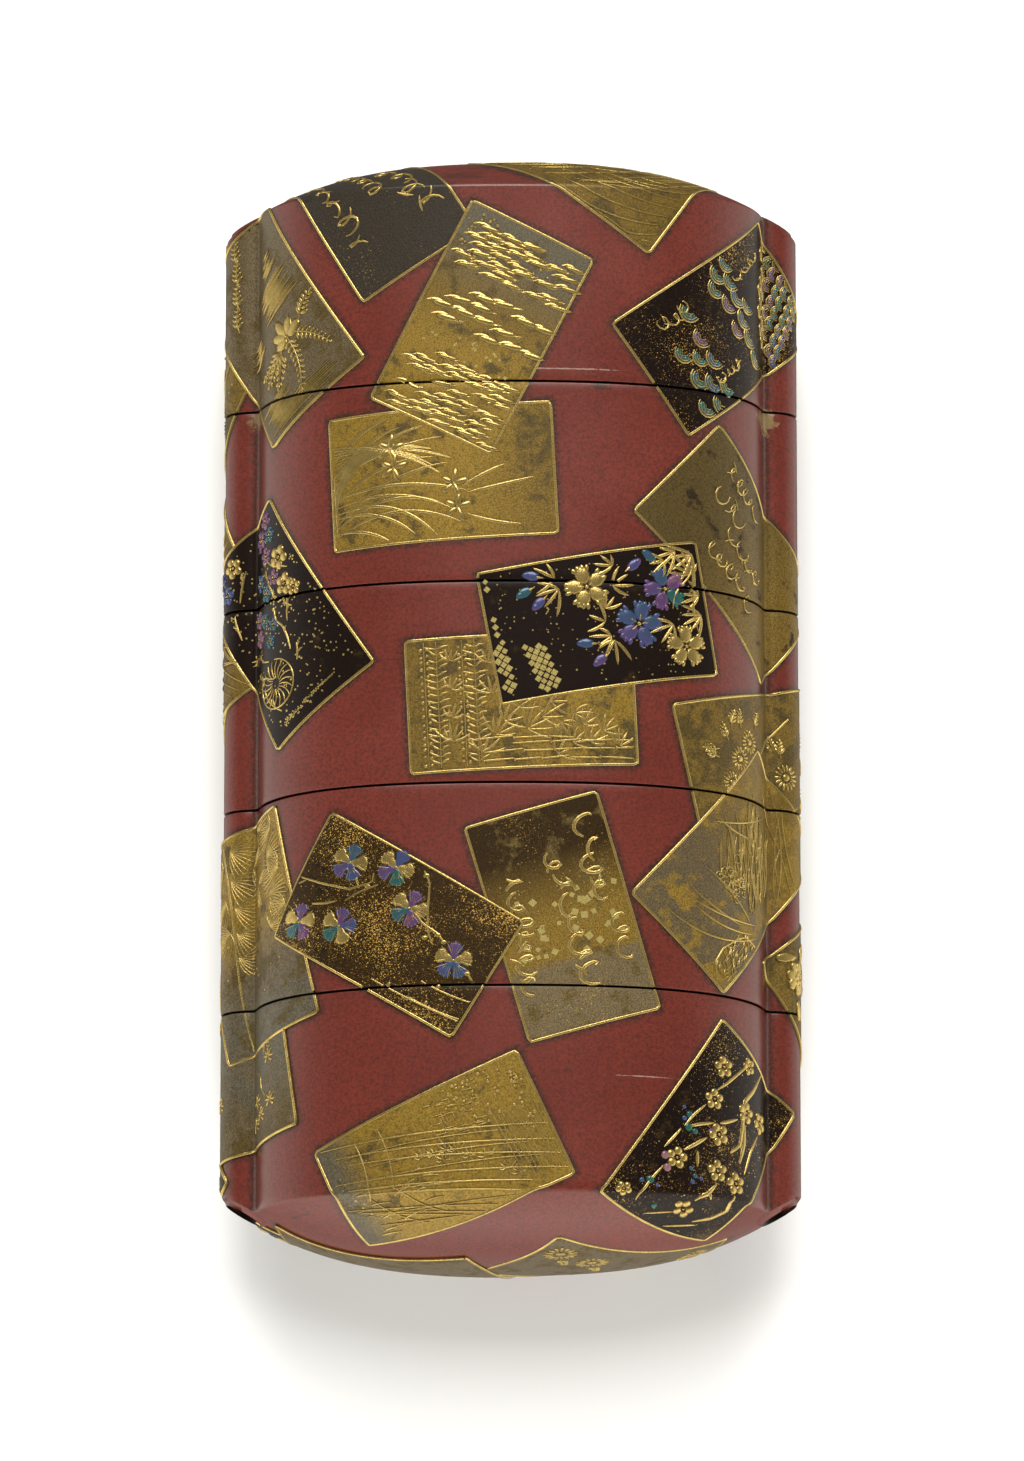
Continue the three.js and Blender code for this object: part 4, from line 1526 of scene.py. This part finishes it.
def relief_tree():
    """Tubes along the edges, and a leaf or a square at each lone point."""
    tree = bpy.data.node_groups.new("Raised lines and leaves", "GeometryNodeTree")
    sockets = {}
    for label, kind in (
        ("Geometry", "Geometry"), ("Line sides", "Int"), ("Leaf segments", "Int"), ("Finish", "Material"),
    ):
        socket = tree.interface.new_socket(label, in_out="INPUT", socket_type="NodeSocket" + kind)
        sockets[label] = socket.identifier
    tree.interface.new_socket("Geometry", in_out="OUTPUT", socket_type="NodeSocketGeometry")
    source = tree.nodes.new("NodeGroupInput").outputs

    def named(label, kind):
        return node(tree, "GeometryNodeInputNamedAttribute", {"Name": label}, data_type=kind)

    turned = node(tree, "FunctionNodeEulerToRotation", {"Euler": named("turn", "FLOAT_VECTOR")})

    def smooth(shape):
        return node(tree, "GeometryNodeSetShadeSmooth", {"Geometry": shape, "Shade Smooth": True})

    def spread(kind, shape):
        inputs = {2: named("kind", "INT"), 3: kind}
        same = node(tree, "FunctionNodeCompare", inputs, data_type="INT", operation="EQUAL")
        inputs = {"Points": source["Geometry"], "Selection": same, "Instance": shape}
        inputs |= {"Rotation": turned, "Scale": named("size", "FLOAT_VECTOR")}
        return node(tree, "GeometryNodeInstanceOnPoints", inputs)

    inputs = {"Resolution": source["Line sides"], "Radius": MM}
    circle = node(tree, "GeometryNodeCurvePrimitiveCircle", inputs)
    curve = node(tree, "GeometryNodeMeshToCurve", {"Mesh": source["Geometry"]})
    inputs = {"Curve": curve, "Profile Curve": circle, "Scale": named("width", "FLOAT"), "Fill Caps": True}
    tube = smooth(node(tree, "GeometryNodeCurveToMesh", inputs))
    inputs = {"Segments": source["Leaf segments"], "Rings": 4, "Radius": MM}
    leaf = smooth(node(tree, "GeometryNodeMeshUVSphere", inputs))
    square = node(tree, "GeometryNodeMeshCube", {"Size": (MM, MM, MM)})
    leaves, squares = spread(LEAF, leaf), spread(SQUARE, square)
    joined = tree.nodes.new("GeometryNodeJoinGeometry")
    for part in (squares, leaves, tube):
        tree.links.new(part.outputs[0], joined.inputs[0])
    whole = node(tree, "GeometryNodeRealizeInstances", {"Geometry": joined})
    inputs = {"Geometry": whole, "Material": source["Finish"]}
    painted = node(tree, "GeometryNodeSetMaterial", inputs)
    result = tree.nodes.new("NodeGroupOutput")
    tree.links.new(painted.outputs[0], result.inputs[0])
    return tree, sockets


def build_relief(name, draft, tree, sockets, finish):
    """The plain mesh that the tree makes of one section's relief."""
    attributes = {
        "kind": ("INT", draft.kinds),
        "width": ("FLOAT", draft.widths),
        "turn": ("FLOAT_VECTOR", draft.turns),
        "size": ("FLOAT_VECTOR", draft.sizes),
        "tint": ("FLOAT", draft.tints),
    }
    relief = mesh_object(name, draft.points, [], draft.edges, attributes=attributes)
    modifier = relief.modifiers.new("Relief", "NODES")
    modifier.node_group = tree
    modifier[sockets["Line sides"]] = LINE_SIDES
    modifier[sockets["Leaf segments"]] = LEAF_SEGMENTS
    modifier[sockets["Finish"]] = finish
    depsgraph = bpy.context.evaluated_depsgraph_get()
    mesh = bpy.data.meshes.new_from_object(relief.evaluated_get(depsgraph), depsgraph=depsgraph)
    mesh.name = name
    relief.modifiers.clear()
    relief.data = mesh
    spots = np.zeros(3 * len(mesh.vertices), np.float32)
    mesh.vertices.foreach_get("co", spots)
    spots = spots.reshape(-1, 3)
    reach = np.array([RIB_CENTRE + RIB_HALF_WIDTH, RIDGE + DOME_RISE]) - 0.01
    spots[:, :2] = np.clip(spots[:, :2], -reach * MM, reach * MM)
    spots[:, 2] = np.maximum(spots[:, 2], 0)
    mesh.vertices.foreach_set("co", spots.ravel())
    mesh.update()
    return relief


# --- materials ----------------------------------------------------------------------------


def feed(tree, made, inputs):
    """Fills inputs. A value is a number, a socket, or a node whose first live output is taken."""
    for key, value in inputs.items():
        if isinstance(value, bpy.types.Node):
            value = next(output for output in value.outputs if output.enabled)
        if isinstance(value, bpy.types.NodeSocket):
            tree.links.new(value, made.inputs[key])
        else:
            made.inputs[key].default_value = value


def node(tree, kind, inputs=None, **settings):
    """Adds a node with its settings and its inputs."""
    made = tree.nodes.new(kind)
    for key, value in settings.items():
        setattr(made, key, value)
    feed(tree, made, inputs or {})
    return made


def new_material(name, colour):
    """A material, its tree and its Principled shader."""
    material = bpy.data.materials.new(name)
    material.use_nodes = True
    material.diffuse_color = (*colour, 1)
    tree = material.node_tree
    tree.nodes.clear()
    shader = tree.nodes.new("ShaderNodeBsdfPrincipled")
    node(tree, "ShaderNodeOutputMaterial", {"Surface": shader.outputs["BSDF"]})
    return material, tree, shader


def object_place(tree):
    """Where a point lies in its object."""
    return node(tree, "ShaderNodeTexCoord").outputs["Object"]


def mixed(tree, factor, first, second):
    """One colour turning into another by a factor."""
    first, second = (
        colour if isinstance(colour, bpy.types.NodeSocket) else (*tuple(colour)[:3], 1)
        for colour in (first, second)
    )
    return node(tree, "ShaderNodeMix", {0: factor, 6: first, 7: second}, data_type="RGBA").outputs[2]


def maths(tree, operation, a, b=0.0, c=0.0, clamp=False):
    """The result of a Math node."""
    made = node(tree, "ShaderNodeMath", {0: a, 1: b, 2: c}, operation=operation)
    made.use_clamp = clamp
    return made.outputs[0]


def ranged(tree, value, low, high, to_low=0.0, to_high=1.0):
    """A value moved from one range to another, and kept in it."""
    inputs = {"Value": value, 1: low, 2: high, 3: to_low, 4: to_high}
    return node(tree, "ShaderNodeMapRange", inputs).outputs[0]


def noise(tree, place, size, detail=2.0, roughness=0.5):
    """A noise whose lumps are about size millimetres across."""
    inputs = {"Vector": place, "Scale": 1 / (size * MM), "Detail": detail, "Roughness": roughness}
    return node(tree, "ShaderNodeTexNoise", inputs).outputs[0]


def attribute(tree, name, output="Fac"):
    return node(tree, "ShaderNodeAttribute", attribute_name=name).outputs[output]


def finish_shader(tree, shader, colour, roughness, height=None, bump=(0.25, 0.03), **others):
    """Feeds a shader, with a bump of a strength and a distance where there is a height."""
    inputs = {"Base Color": colour, "Roughness": roughness, **others}
    if height is not None:
        strength, distance = bump
        bumps = {"Height": height, "Strength": strength, "Distance": distance * MM}
        inputs["Normal"] = node(tree, "ShaderNodeBump", bumps)
    feed(tree, shader, inputs)


# Rubs and chips in the red lacquer: place and half lengths in millimetres, and colour.
WORN_SPOTS = (
    ((0.5, 48.2, 20.5), (4.6, 1.0, 2.4), (0.030, 0.012, 0.008)),
    ((-4.5, 47.2, 23.0), (2.4, 0.6, 1.4), (0.050, 0.016, 0.012)),
    ((7.8, 27.3, 24.4), (1.3, 0.3, 1.5), (0.030, 0.014, 0.010)),
    ((4.8, 28.9, 24.6), (5.5, 0.09, 1.5), (0.24, 0.16, 0.13)),
    ((22.8, 27.0, 13.5), (1.2, 1.3, 4.0), (0.16, 0.11, 0.05)),
    ((-22.8, 27.0, 13.5), (1.0, 1.0, 4.0), (0.13, 0.09, 0.04)),
    ((12.0, -35.8, 23.4), (3.2, 0.06, 2.0), (0.25, 0.17, 0.15)),
    ((-18.6, -47.2, 17.0), (1.2, 0.08, 5.0), (0.04, 0.014, 0.010)),
    ((-10.4, 2.2, 23.6), (1.6, 0.10, 2.0), (0.06, 0.014, 0.010)),
)


def red_lacquer(colours):
    """Grained red, darker and speckled beside the cards and along the grooves of the ribs, and worn spots."""
    material, tree, shader = new_material("Red lacquer", colours.red)
    place = object_place(tree)
    broad = noise(tree, place, 9.0, 3)
    fine = noise(tree, place, 0.27, 3, 0.85)
    grain = ranged(tree, fine, 0.42, 0.62)
    red = np.array(colours.red)
    colour = mixed(tree, ranged(tree, broad, 0.35, 0.65), tuple(red * 0.93), tuple(red * 1.08))
    colour = mixed(tree, maths(tree, "MULTIPLY", grain, 0.8), colour, tuple(red * 0.35 + 0.006))
    # Darker, speckled red beside the cards and along the rib grooves.
    by_card = ranged(tree, attribute(tree, "card_gap"), 0.15, 0.75, 0.95, 0.0)
    by_rib = ranged(tree, attribute(tree, "groove_gap"), 0.1, 0.7, 0.75, 0.0)
    edge_darkening = maths(tree, "MAXIMUM", by_card, by_rib)
    edge_darkening = maths(tree, "MULTIPLY", edge_darkening, ranged(tree, fine, 0.38, 0.6, 0.2, 1.5), clamp=True)
    colour = mixed(tree, edge_darkening, colour, (0.022, 0.014, 0.010))
    ragged = noise(tree, place, 0.7, 4, 0.7)
    for spot, reach, tint in WORN_SPOTS:
        colour = mixed(tree, worn_spot(tree, place, ragged, spot, reach), colour, tint)
    roughness = ranged(tree, broad, 0.3, 0.7, 0.26, 0.34)
    finish_shader(tree, shader, colour, roughness, noise(tree, place, 1.6, 3), (0.25, 0.05))
    return material


def worn_spot(tree, place, ragged, spot, reach):
    """1 in a ragged spot about a place, given in millimetres with its half lengths."""
    vector = place
    for operation, value in (
        ("SUBTRACT", Vector(spot) * MM), ("MULTIPLY", [1 / (MM * half) for half in reach]),
    ):
        vector = node(tree, "ShaderNodeVectorMath", {0: vector, 1: tuple(value)}, operation=operation)
    distance = node(tree, "ShaderNodeVectorMath", {0: vector}, operation="LENGTH").outputs["Value"]
    edge = maths(tree, "ADD", distance, ranged(tree, ragged, 0.3, 0.7, -0.5, 0.7))
    return ranged(tree, edge, 0.75, 1.0, 0.85, 0.0)


def inner_lacquer(colours):
    """Black with a little gold dust."""
    material, tree, shader = new_material("Inner black lacquer", colours.black)
    place = object_place(tree)
    dust = ranged(tree, noise(tree, place, 0.2, 1), 0.68, 0.72)
    colour = mixed(tree, dust, tuple(colours.black), tuple(np.array(colours.gold) * 0.6))
    finish_shader(tree, shader, colour, ranged(tree, dust, 0, 1, 0.3, 0.45))
    return material


def painted_ground(card, colours, u, v):
    """The attributes that card_ground reads, at places on a card."""
    stops, patch, patchiness, dust, _ = card.ground
    reached = [u_stop for u_stop, _ in stops]
    shades = np.array([getattr(colours, name) for _, name in stops])
    ground = np.stack([np.interp(u, reached, channel) for channel in shades.T], -1)
    worn = np.tile(np.array(getattr(colours, patch)), (len(u), 1))
    fade = 0.75 + 0.25 * np.sin(0.35 * u + card.number) * np.cos(0.5 * v + 2 * card.number)
    return {
        "card_place": ("FLOAT_VECTOR", np.stack([u, v, np.full(len(u), card.number * 7.0)], -1)),
        "ground": ("FLOAT_VECTOR", ground),
        "worn": ("FLOAT_VECTOR", worn),
        "patchiness": ("FLOAT", np.full(len(u), patchiness)),
        "dust": ("FLOAT", dust * fade),
    }


def card_ground(name, colour, metallic, roughness):
    """Powdered lacquer, with worn patches and bright dust where its attributes say."""
    material, tree, shader = new_material(name, colour)
    place = attribute(tree, "card_place", "Vector")
    patches = noise(tree, place, 2.2 / MM, 8, 0.68)
    grain = noise(tree, place, 0.13 / MM, 2, 0.7)
    limit = ranged(tree, attribute(tree, "patchiness"), 0, 1, 0.76, 0.3)
    thin = ranged(tree, maths(tree, "SUBTRACT", patches, limit), -0.045, 0.045)
    ground, worn = attribute(tree, "ground", "Vector"), attribute(tree, "worn", "Vector")
    colour = mixed(tree, thin, ground, worn)
    brightness = ranged(tree, grain, 0.34, 0.66, 0.5, 1.5)
    colour = node(tree, "ShaderNodeVectorMath", {0: colour, "Scale": brightness}, operation="SCALE")
    colour = colour.outputs[0]
    clouds = ranged(tree, noise(tree, place, 3.2 / MM, 2), 0.35, 0.65, -0.08, 0.05)
    amount = maths(tree, "ADD", ranged(tree, attribute(tree, "dust"), 0, 1.5, -0.42, 0.3), clouds)
    dust = None
    for spacing in (6.0, 11.5):
        dots = node(tree, "ShaderNodeTexVoronoi", {"Vector": place, "Scale": spacing})
        size = maths(tree, "ADD", ranged(tree, dots.outputs["Color"], 0.0, 1.0, -0.3, 0.44), amount)
        layer = ranged(tree, maths(tree, "SUBTRACT", size, dots.outputs["Distance"]), 0.0, 0.1)
        dust = layer if dust is None else maths(tree, "MAXIMUM", dust, layer)
    colour = mixed(tree, maths(tree, "MULTIPLY", dust, 0.9), colour, (0.40, 0.245, 0.055))
    shine = {"Metallic": metallic, "Specular IOR Level": 0.35 if metallic else 0.17}
    roughness = ranged(tree, thin, 0, 1, roughness, roughness + 0.1)
    finish_shader(tree, shader, colour, roughness, grain, **shine)
    return material


def raised_gold(colours):
    """Bright gold with dull patches. A tint over 1 turns it into the paler gold of the squares."""
    material, tree, shader = new_material("Raised gold", colours.relief)
    place = object_place(tree)
    patches = noise(tree, place, 1.4, 3)
    grain = noise(tree, place, 0.1, 2)
    gold = np.array(colours.relief)
    tone = attribute(tree, "tint")
    colour = mixed(tree, tone, tuple(gold * (0.3, 0.3, 0.2)), tuple(gold))
    dull = ranged(tree, patches, 0.3, 0.7, 0.45, 0.0)
    colour = mixed(tree, dull, colour, tuple(gold * 0.3))
    colour = mixed(tree, ranged(tree, grain, 0.45, 0.7, 0, 0.55), colour, tuple(gold * 0.25))
    colour = mixed(tree, ranged(tree, tone, 1, 2), colour, (0.32, 0.26, 0.085))
    metallic = ranged(tree, tone, 1, 2, 0.85, 0.35)
    roughness = ranged(tree, grain, 0.3, 0.7, 0.2, 0.38)
    finish_shader(tree, shader, colour, roughness, grain, (0.3, 0.03), Metallic=metallic)
    return material


SHELL_TINTS = (
    (0.0, (0.02, 0.10, 0.065)), (0.25, (0.03, 0.075, 0.11)), (0.5, (0.05, 0.058, 0.15)),
    (0.75, (0.095, 0.04, 0.11)), (1.0, (0.26, 0.14, 0.14)),
)


def shell_finish():
    """Green, blue, violet or rose by the tint, a little cloudy."""
    material, tree, shader = new_material("Mother of pearl", (0.12, 0.16, 0.3))
    place = object_place(tree)
    cloud = ranged(tree, noise(tree, place, 0.7, 2), 0.3, 0.7, -0.12, 0.12)
    tint = maths(tree, "ADD", attribute(tree, "tint"), cloud)
    ramp = node(tree, "ShaderNodeValToRGB", {"Fac": tint})
    elements = ramp.color_ramp.elements
    while len(elements) < len(SHELL_TINTS):
        elements.new(0.5)
    for element, (position, colour) in zip(elements, SHELL_TINTS):
        element.position = position
        element.color = (*colour, 1)
    roughness = ranged(tree, tint, 0, 1, 0.18, 0.3)
    finish_shader(tree, shader, ramp.outputs["Color"], roughness, Metallic=0.35)
    return material


# --- operators ----------------------------------------------------------------------------


def dress(piece, nodes):
    """Gives a finished piece its body and hides the nodes that it stands for."""
    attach(piece, "root")
    if nodes:
        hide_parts(*nodes)


def case_parts(context):
    """The colours, the surface and the pile of cards that the settings give."""
    sizes = context.scene.inro_sizes
    return context.scene.inro_colours, CaseSurface(sizes), laid_cards(sizes)


def smoothed(piece):
    """Shades a piece smooth, with its corners kept sharp."""
    piece.data.shade_smooth()
    piece.data.set_sharp_from_angle(angle=SMOOTH_ANGLE)
    return piece


def card_and_groove_gaps(draft, cards):
    """Attributes of a section's shell: how far it is to a card and to the groove of a rib."""
    s, q = np.array(draft.charts).T
    gaps = np.min([card.gap_to(s, q) for card in cards], axis=0)
    x, z = np.array(draft.points).T[[0, 2]]
    on_end = (np.abs(q) > RIDGE + EDGE_RADIUS) & (np.abs(q) < HIDDEN / 2)
    over_back = end_chart(x, z - MIDDLE_HEIGHT, np.sign(q), True)
    gaps_back = np.min([card.gap_to(*over_back) for card in cards], axis=0)
    gaps = np.where(on_end, np.minimum(gaps, gaps_back), gaps)
    wrapped = np.abs((s + WAY_ROUND / 2) % WAY_ROUND - WAY_ROUND / 2)
    grooves = np.minimum(np.abs(wrapped - GROOVE_AT), np.abs(2 * QUARTER - wrapped - GROOVE_AT))
    return {
        "card_gap": ("FLOAT", np.clip(gaps, -5, 5)),
        "groove_gap": ("FLOAT", np.where(np.abs(q) < RIDGE, grooves, 5)),
    }


class INRO_OT_lacquer(bpy.types.Operator):
    """Makes the five hollow sections of red lacquer"""

    bl_idname = "inro.lacquer"
    bl_label = "Lacquer sections"

    def execute(self, context):
        colours, surface, cards = case_parts(context)
        materials = [red_lacquer(colours), inner_lacquer(colours)]
        for index, name in enumerate(SECTIONS):
            draft = build_section(index, surface)
            shell = mesh_object(
                f"{name}_lacquer", draft.points, draft.faces, materials=materials,
                finishes=draft.finishes, attributes=card_and_groove_gaps(draft, cards),
            )
            dress(smoothed(shell), [name])
        return {"FINISHED"}


class INRO_OT_cards(bpy.types.Operator):
    """Lays the thin cards on the lacquer"""

    bl_idname = "inro.cards"
    bl_label = "Cards"

    def execute(self, context):
        colours, surface, cards = case_parts(context)
        kinds = (
            ("gold", card_ground("Gold ground", colours.gold, 0.35, 0.42), "gold_lacquer"),
            ("black", card_ground("Dark ground", colours.black, 0.0, 0.3), "black_lacquer"),
        )
        for index, name in enumerate(SECTIONS):
            for kind, material, slot in kinds:
                wanted = [c for c in cards if (c.ground[0][0][1] in DARK) == (kind == "black")]
                self.lay(surface, wanted, colours, material, index, f"{name}_{kind}_cards", slot)
        return {"FINISHED"}

    def lay(self, surface, cards, colours, material, index, name, slot):
        """Joins the parts of some cards that lie on one section."""
        points, faces, painted = [], [], []
        count = 0
        for card in cards:
            cells = card_cells(card, index, surface)
            if not cells:
                continue
            spots, charts, card_faces = card_plate(card, cells, surface)
            points.append(spots)
            faces += [tuple(i + count for i in face) for face in card_faces]
            painted.append(painted_ground(card, colours, *card.to_card(*charts.T)))
            count += len(spots)
        if not points:
            return
        attributes = {
            label: (kind, np.concatenate([ground[label][1] for ground in painted]))
            for label, (kind, _) in painted[0].items()
        }
        points = np.concatenate(points)
        plates = mesh_object(name, points, faces, materials=[material], attributes=attributes)
        dress(smoothed(plates), [])


class INRO_OT_relief(bpy.types.Operator):
    """Raises the gold rims and pictures, and the shell petals"""

    bl_idname = "inro.relief"
    bl_label = "Raised gold and shell"

    def execute(self, context):
        colours, surface, cards = case_parts(context)
        gold, shell = relief_drafts(context.scene.inro_sizes, surface, cards)
        tree, sockets = relief_tree()
        gold_finish, pearl = raised_gold(colours), shell_finish()
        for name, gold_draft, shell_draft in zip(SECTIONS, gold, shell):
            for draft, kind, finish, slot in (
                (gold_draft, "gold_relief", gold_finish, "gold_lacquer"),
                (shell_draft, "pearl_petals", pearl, "shell_inlay"),
            ):
                if draft.points:
                    piece = build_relief(f"{name}_{kind}", draft, tree, sockets, finish)
                    dress(piece, [])
        return {"FINISHED"}


class INRO_OT_stage(bpy.types.Operator):
    """Sets the floor, the lights and the camera"""

    bl_idname = "inro.stage"
    bl_label = "Stage"

    def execute(self, context):
        scene = context.scene
        corners = [(x, y, FLOOR_LEVEL) for x, y in ((-900, -900), (900, -900), (900, 900), (-900, 900))]
        finish = floor_finish(scene.inro_colours)
        floor = mesh_object("floor", corners, [(0, 1, 2, 3)], materials=[finish])
        light_world(scene)
        add_light("Window", (0, 700, 640), (700, 440), 8.2)
        overhead = add_light("Overhead", (0, 375, 927), (460, 460), 7.5)
        fill = add_light("Low fill", (0, -790, 320), (800, 460), 9)
        for hidden in (floor, overhead, fill):
            hidden.visible_glossy = False
        add_camera(scene)
        scene.view_settings.view_transform = "Standard"
        scene.view_settings.look = "None"
        return {"FINISHED"}


def add_camera(scene):
    """A long lens that looks down the case from its low end."""
    camera = bpy.data.objects.new("Camera", bpy.data.cameras.new("Camera"))
    scene.collection.objects.link(camera)
    camera.data.lens = 330.3
    camera.data.sensor_width = 36
    camera.data.clip_start, camera.data.clip_end = 0.05, 20
    aim = Vector((0.05, -1.3, 12.4)) * MM
    distance, elevation = 1.2, math.radians(75)
    camera.location = aim + distance * Vector((0, -math.cos(elevation), math.sin(elevation)))
    camera.rotation_euler = (math.pi / 2 - elevation, 0, 0)
    scene.camera = camera


def floor_finish(colours):
    """A pale floor, very slightly uneven."""
    material, tree, shader = new_material("Pale floor", colours.floor)
    floor = np.array(colours.floor)
    colour = mixed(tree, noise(tree, object_place(tree), 40, 2), tuple(floor * 0.985), tuple(floor))
    finish_shader(tree, shader, colour, 0.9)
    return material


LIGHT_TINT = (1, 0.955, 0.88)


def light_world(scene):
    """A soft studio: dim overhead, bright towards the horizon and past the low end."""
    world = bpy.data.worlds.new("Studio")
    scene.world = world
    world.use_nodes = True
    tree = world.node_tree
    tree.nodes.clear()
    sky = node(tree, "ShaderNodeTexCoord").outputs["Generated"]
    x, y, z = node(tree, "ShaderNodeSeparateXYZ", {0: sky}).outputs
    from_below = ranged(tree, z, -0.8, -0.2, 0.3, 1.0)
    from_side = ranged(tree, maths(tree, "ABSOLUTE", x), 0.3, 0.8, 0, 1.4)
    strength = ranged(tree, z, 0.05, 0.6, 1.25, 0.12)
    for factor in (
        ranged(tree, y, 0.1, 0.7, 1.0, 0.15), maths(tree, "MAXIMUM", from_below, from_side),
        ranged(tree, y, -0.95, -0.3, 1.8, 1.0),
    ):
        strength = maths(tree, "MULTIPLY", strength, factor)
    inputs = {"Color": (*LIGHT_TINT, 1), "Strength": strength}
    node(tree, "ShaderNodeOutputWorld", {"Surface": node(tree, "ShaderNodeBackground", inputs)})


def add_light(name, place, size, power):
    """A rectangular soft light aimed at the case, in millimetres and watts."""
    data = bpy.data.lights.new(name, "AREA")
    data.color = LIGHT_TINT
    data.shape = "RECTANGLE"
    data.size, data.size_y = size[0] * MM, size[1] * MM
    data.energy = power
    light = bpy.data.objects.new(name, data)
    bpy.context.scene.collection.objects.link(light)
    light.location = Vector(place) * MM
    light.rotation_euler = Vector(place).to_track_quat("Z", "Y").to_euler()
    return light


class INRO_PT_panel(bpy.types.Panel):
    """Lists the steps that dress the case"""

    bl_idname = "INRO_PT_panel"
    bl_label = "Inro Case"
    bl_space_type = "VIEW_3D"
    bl_region_type = "UI"
    bl_category = "Inro"

    def draw(self, context):
        for group in (context.scene.inro_sizes, context.scene.inro_colours):
            box = self.layout.box()
            for key in group.__annotations__:
                box.prop(group, key)
        for step in STEPS:
            self.layout.operator(step.bl_idname)


STEPS = (INRO_OT_lacquer, INRO_OT_cards, INRO_OT_relief, INRO_OT_stage)
CLASSES = (InroSizes, InroColours, *STEPS, INRO_PT_panel)


def register():
    for cls in CLASSES:
        bpy.utils.register_class(cls)
    bpy.types.Scene.inro_sizes = bpy.props.PointerProperty(type=InroSizes)
    bpy.types.Scene.inro_colours = bpy.props.PointerProperty(type=InroColours)


def unregister():
    del bpy.types.Scene.inro_sizes
    del bpy.types.Scene.inro_colours
    for cls in reversed(CLASSES):
        bpy.utils.unregister_class(cls)


def main():
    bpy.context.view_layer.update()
    register()
    bpy.ops.inro.stage()
    bpy.ops.inro.lacquer()
    bpy.ops.inro.cards()
    bpy.ops.inro.relief()


if __name__ == "__main__":
    main()
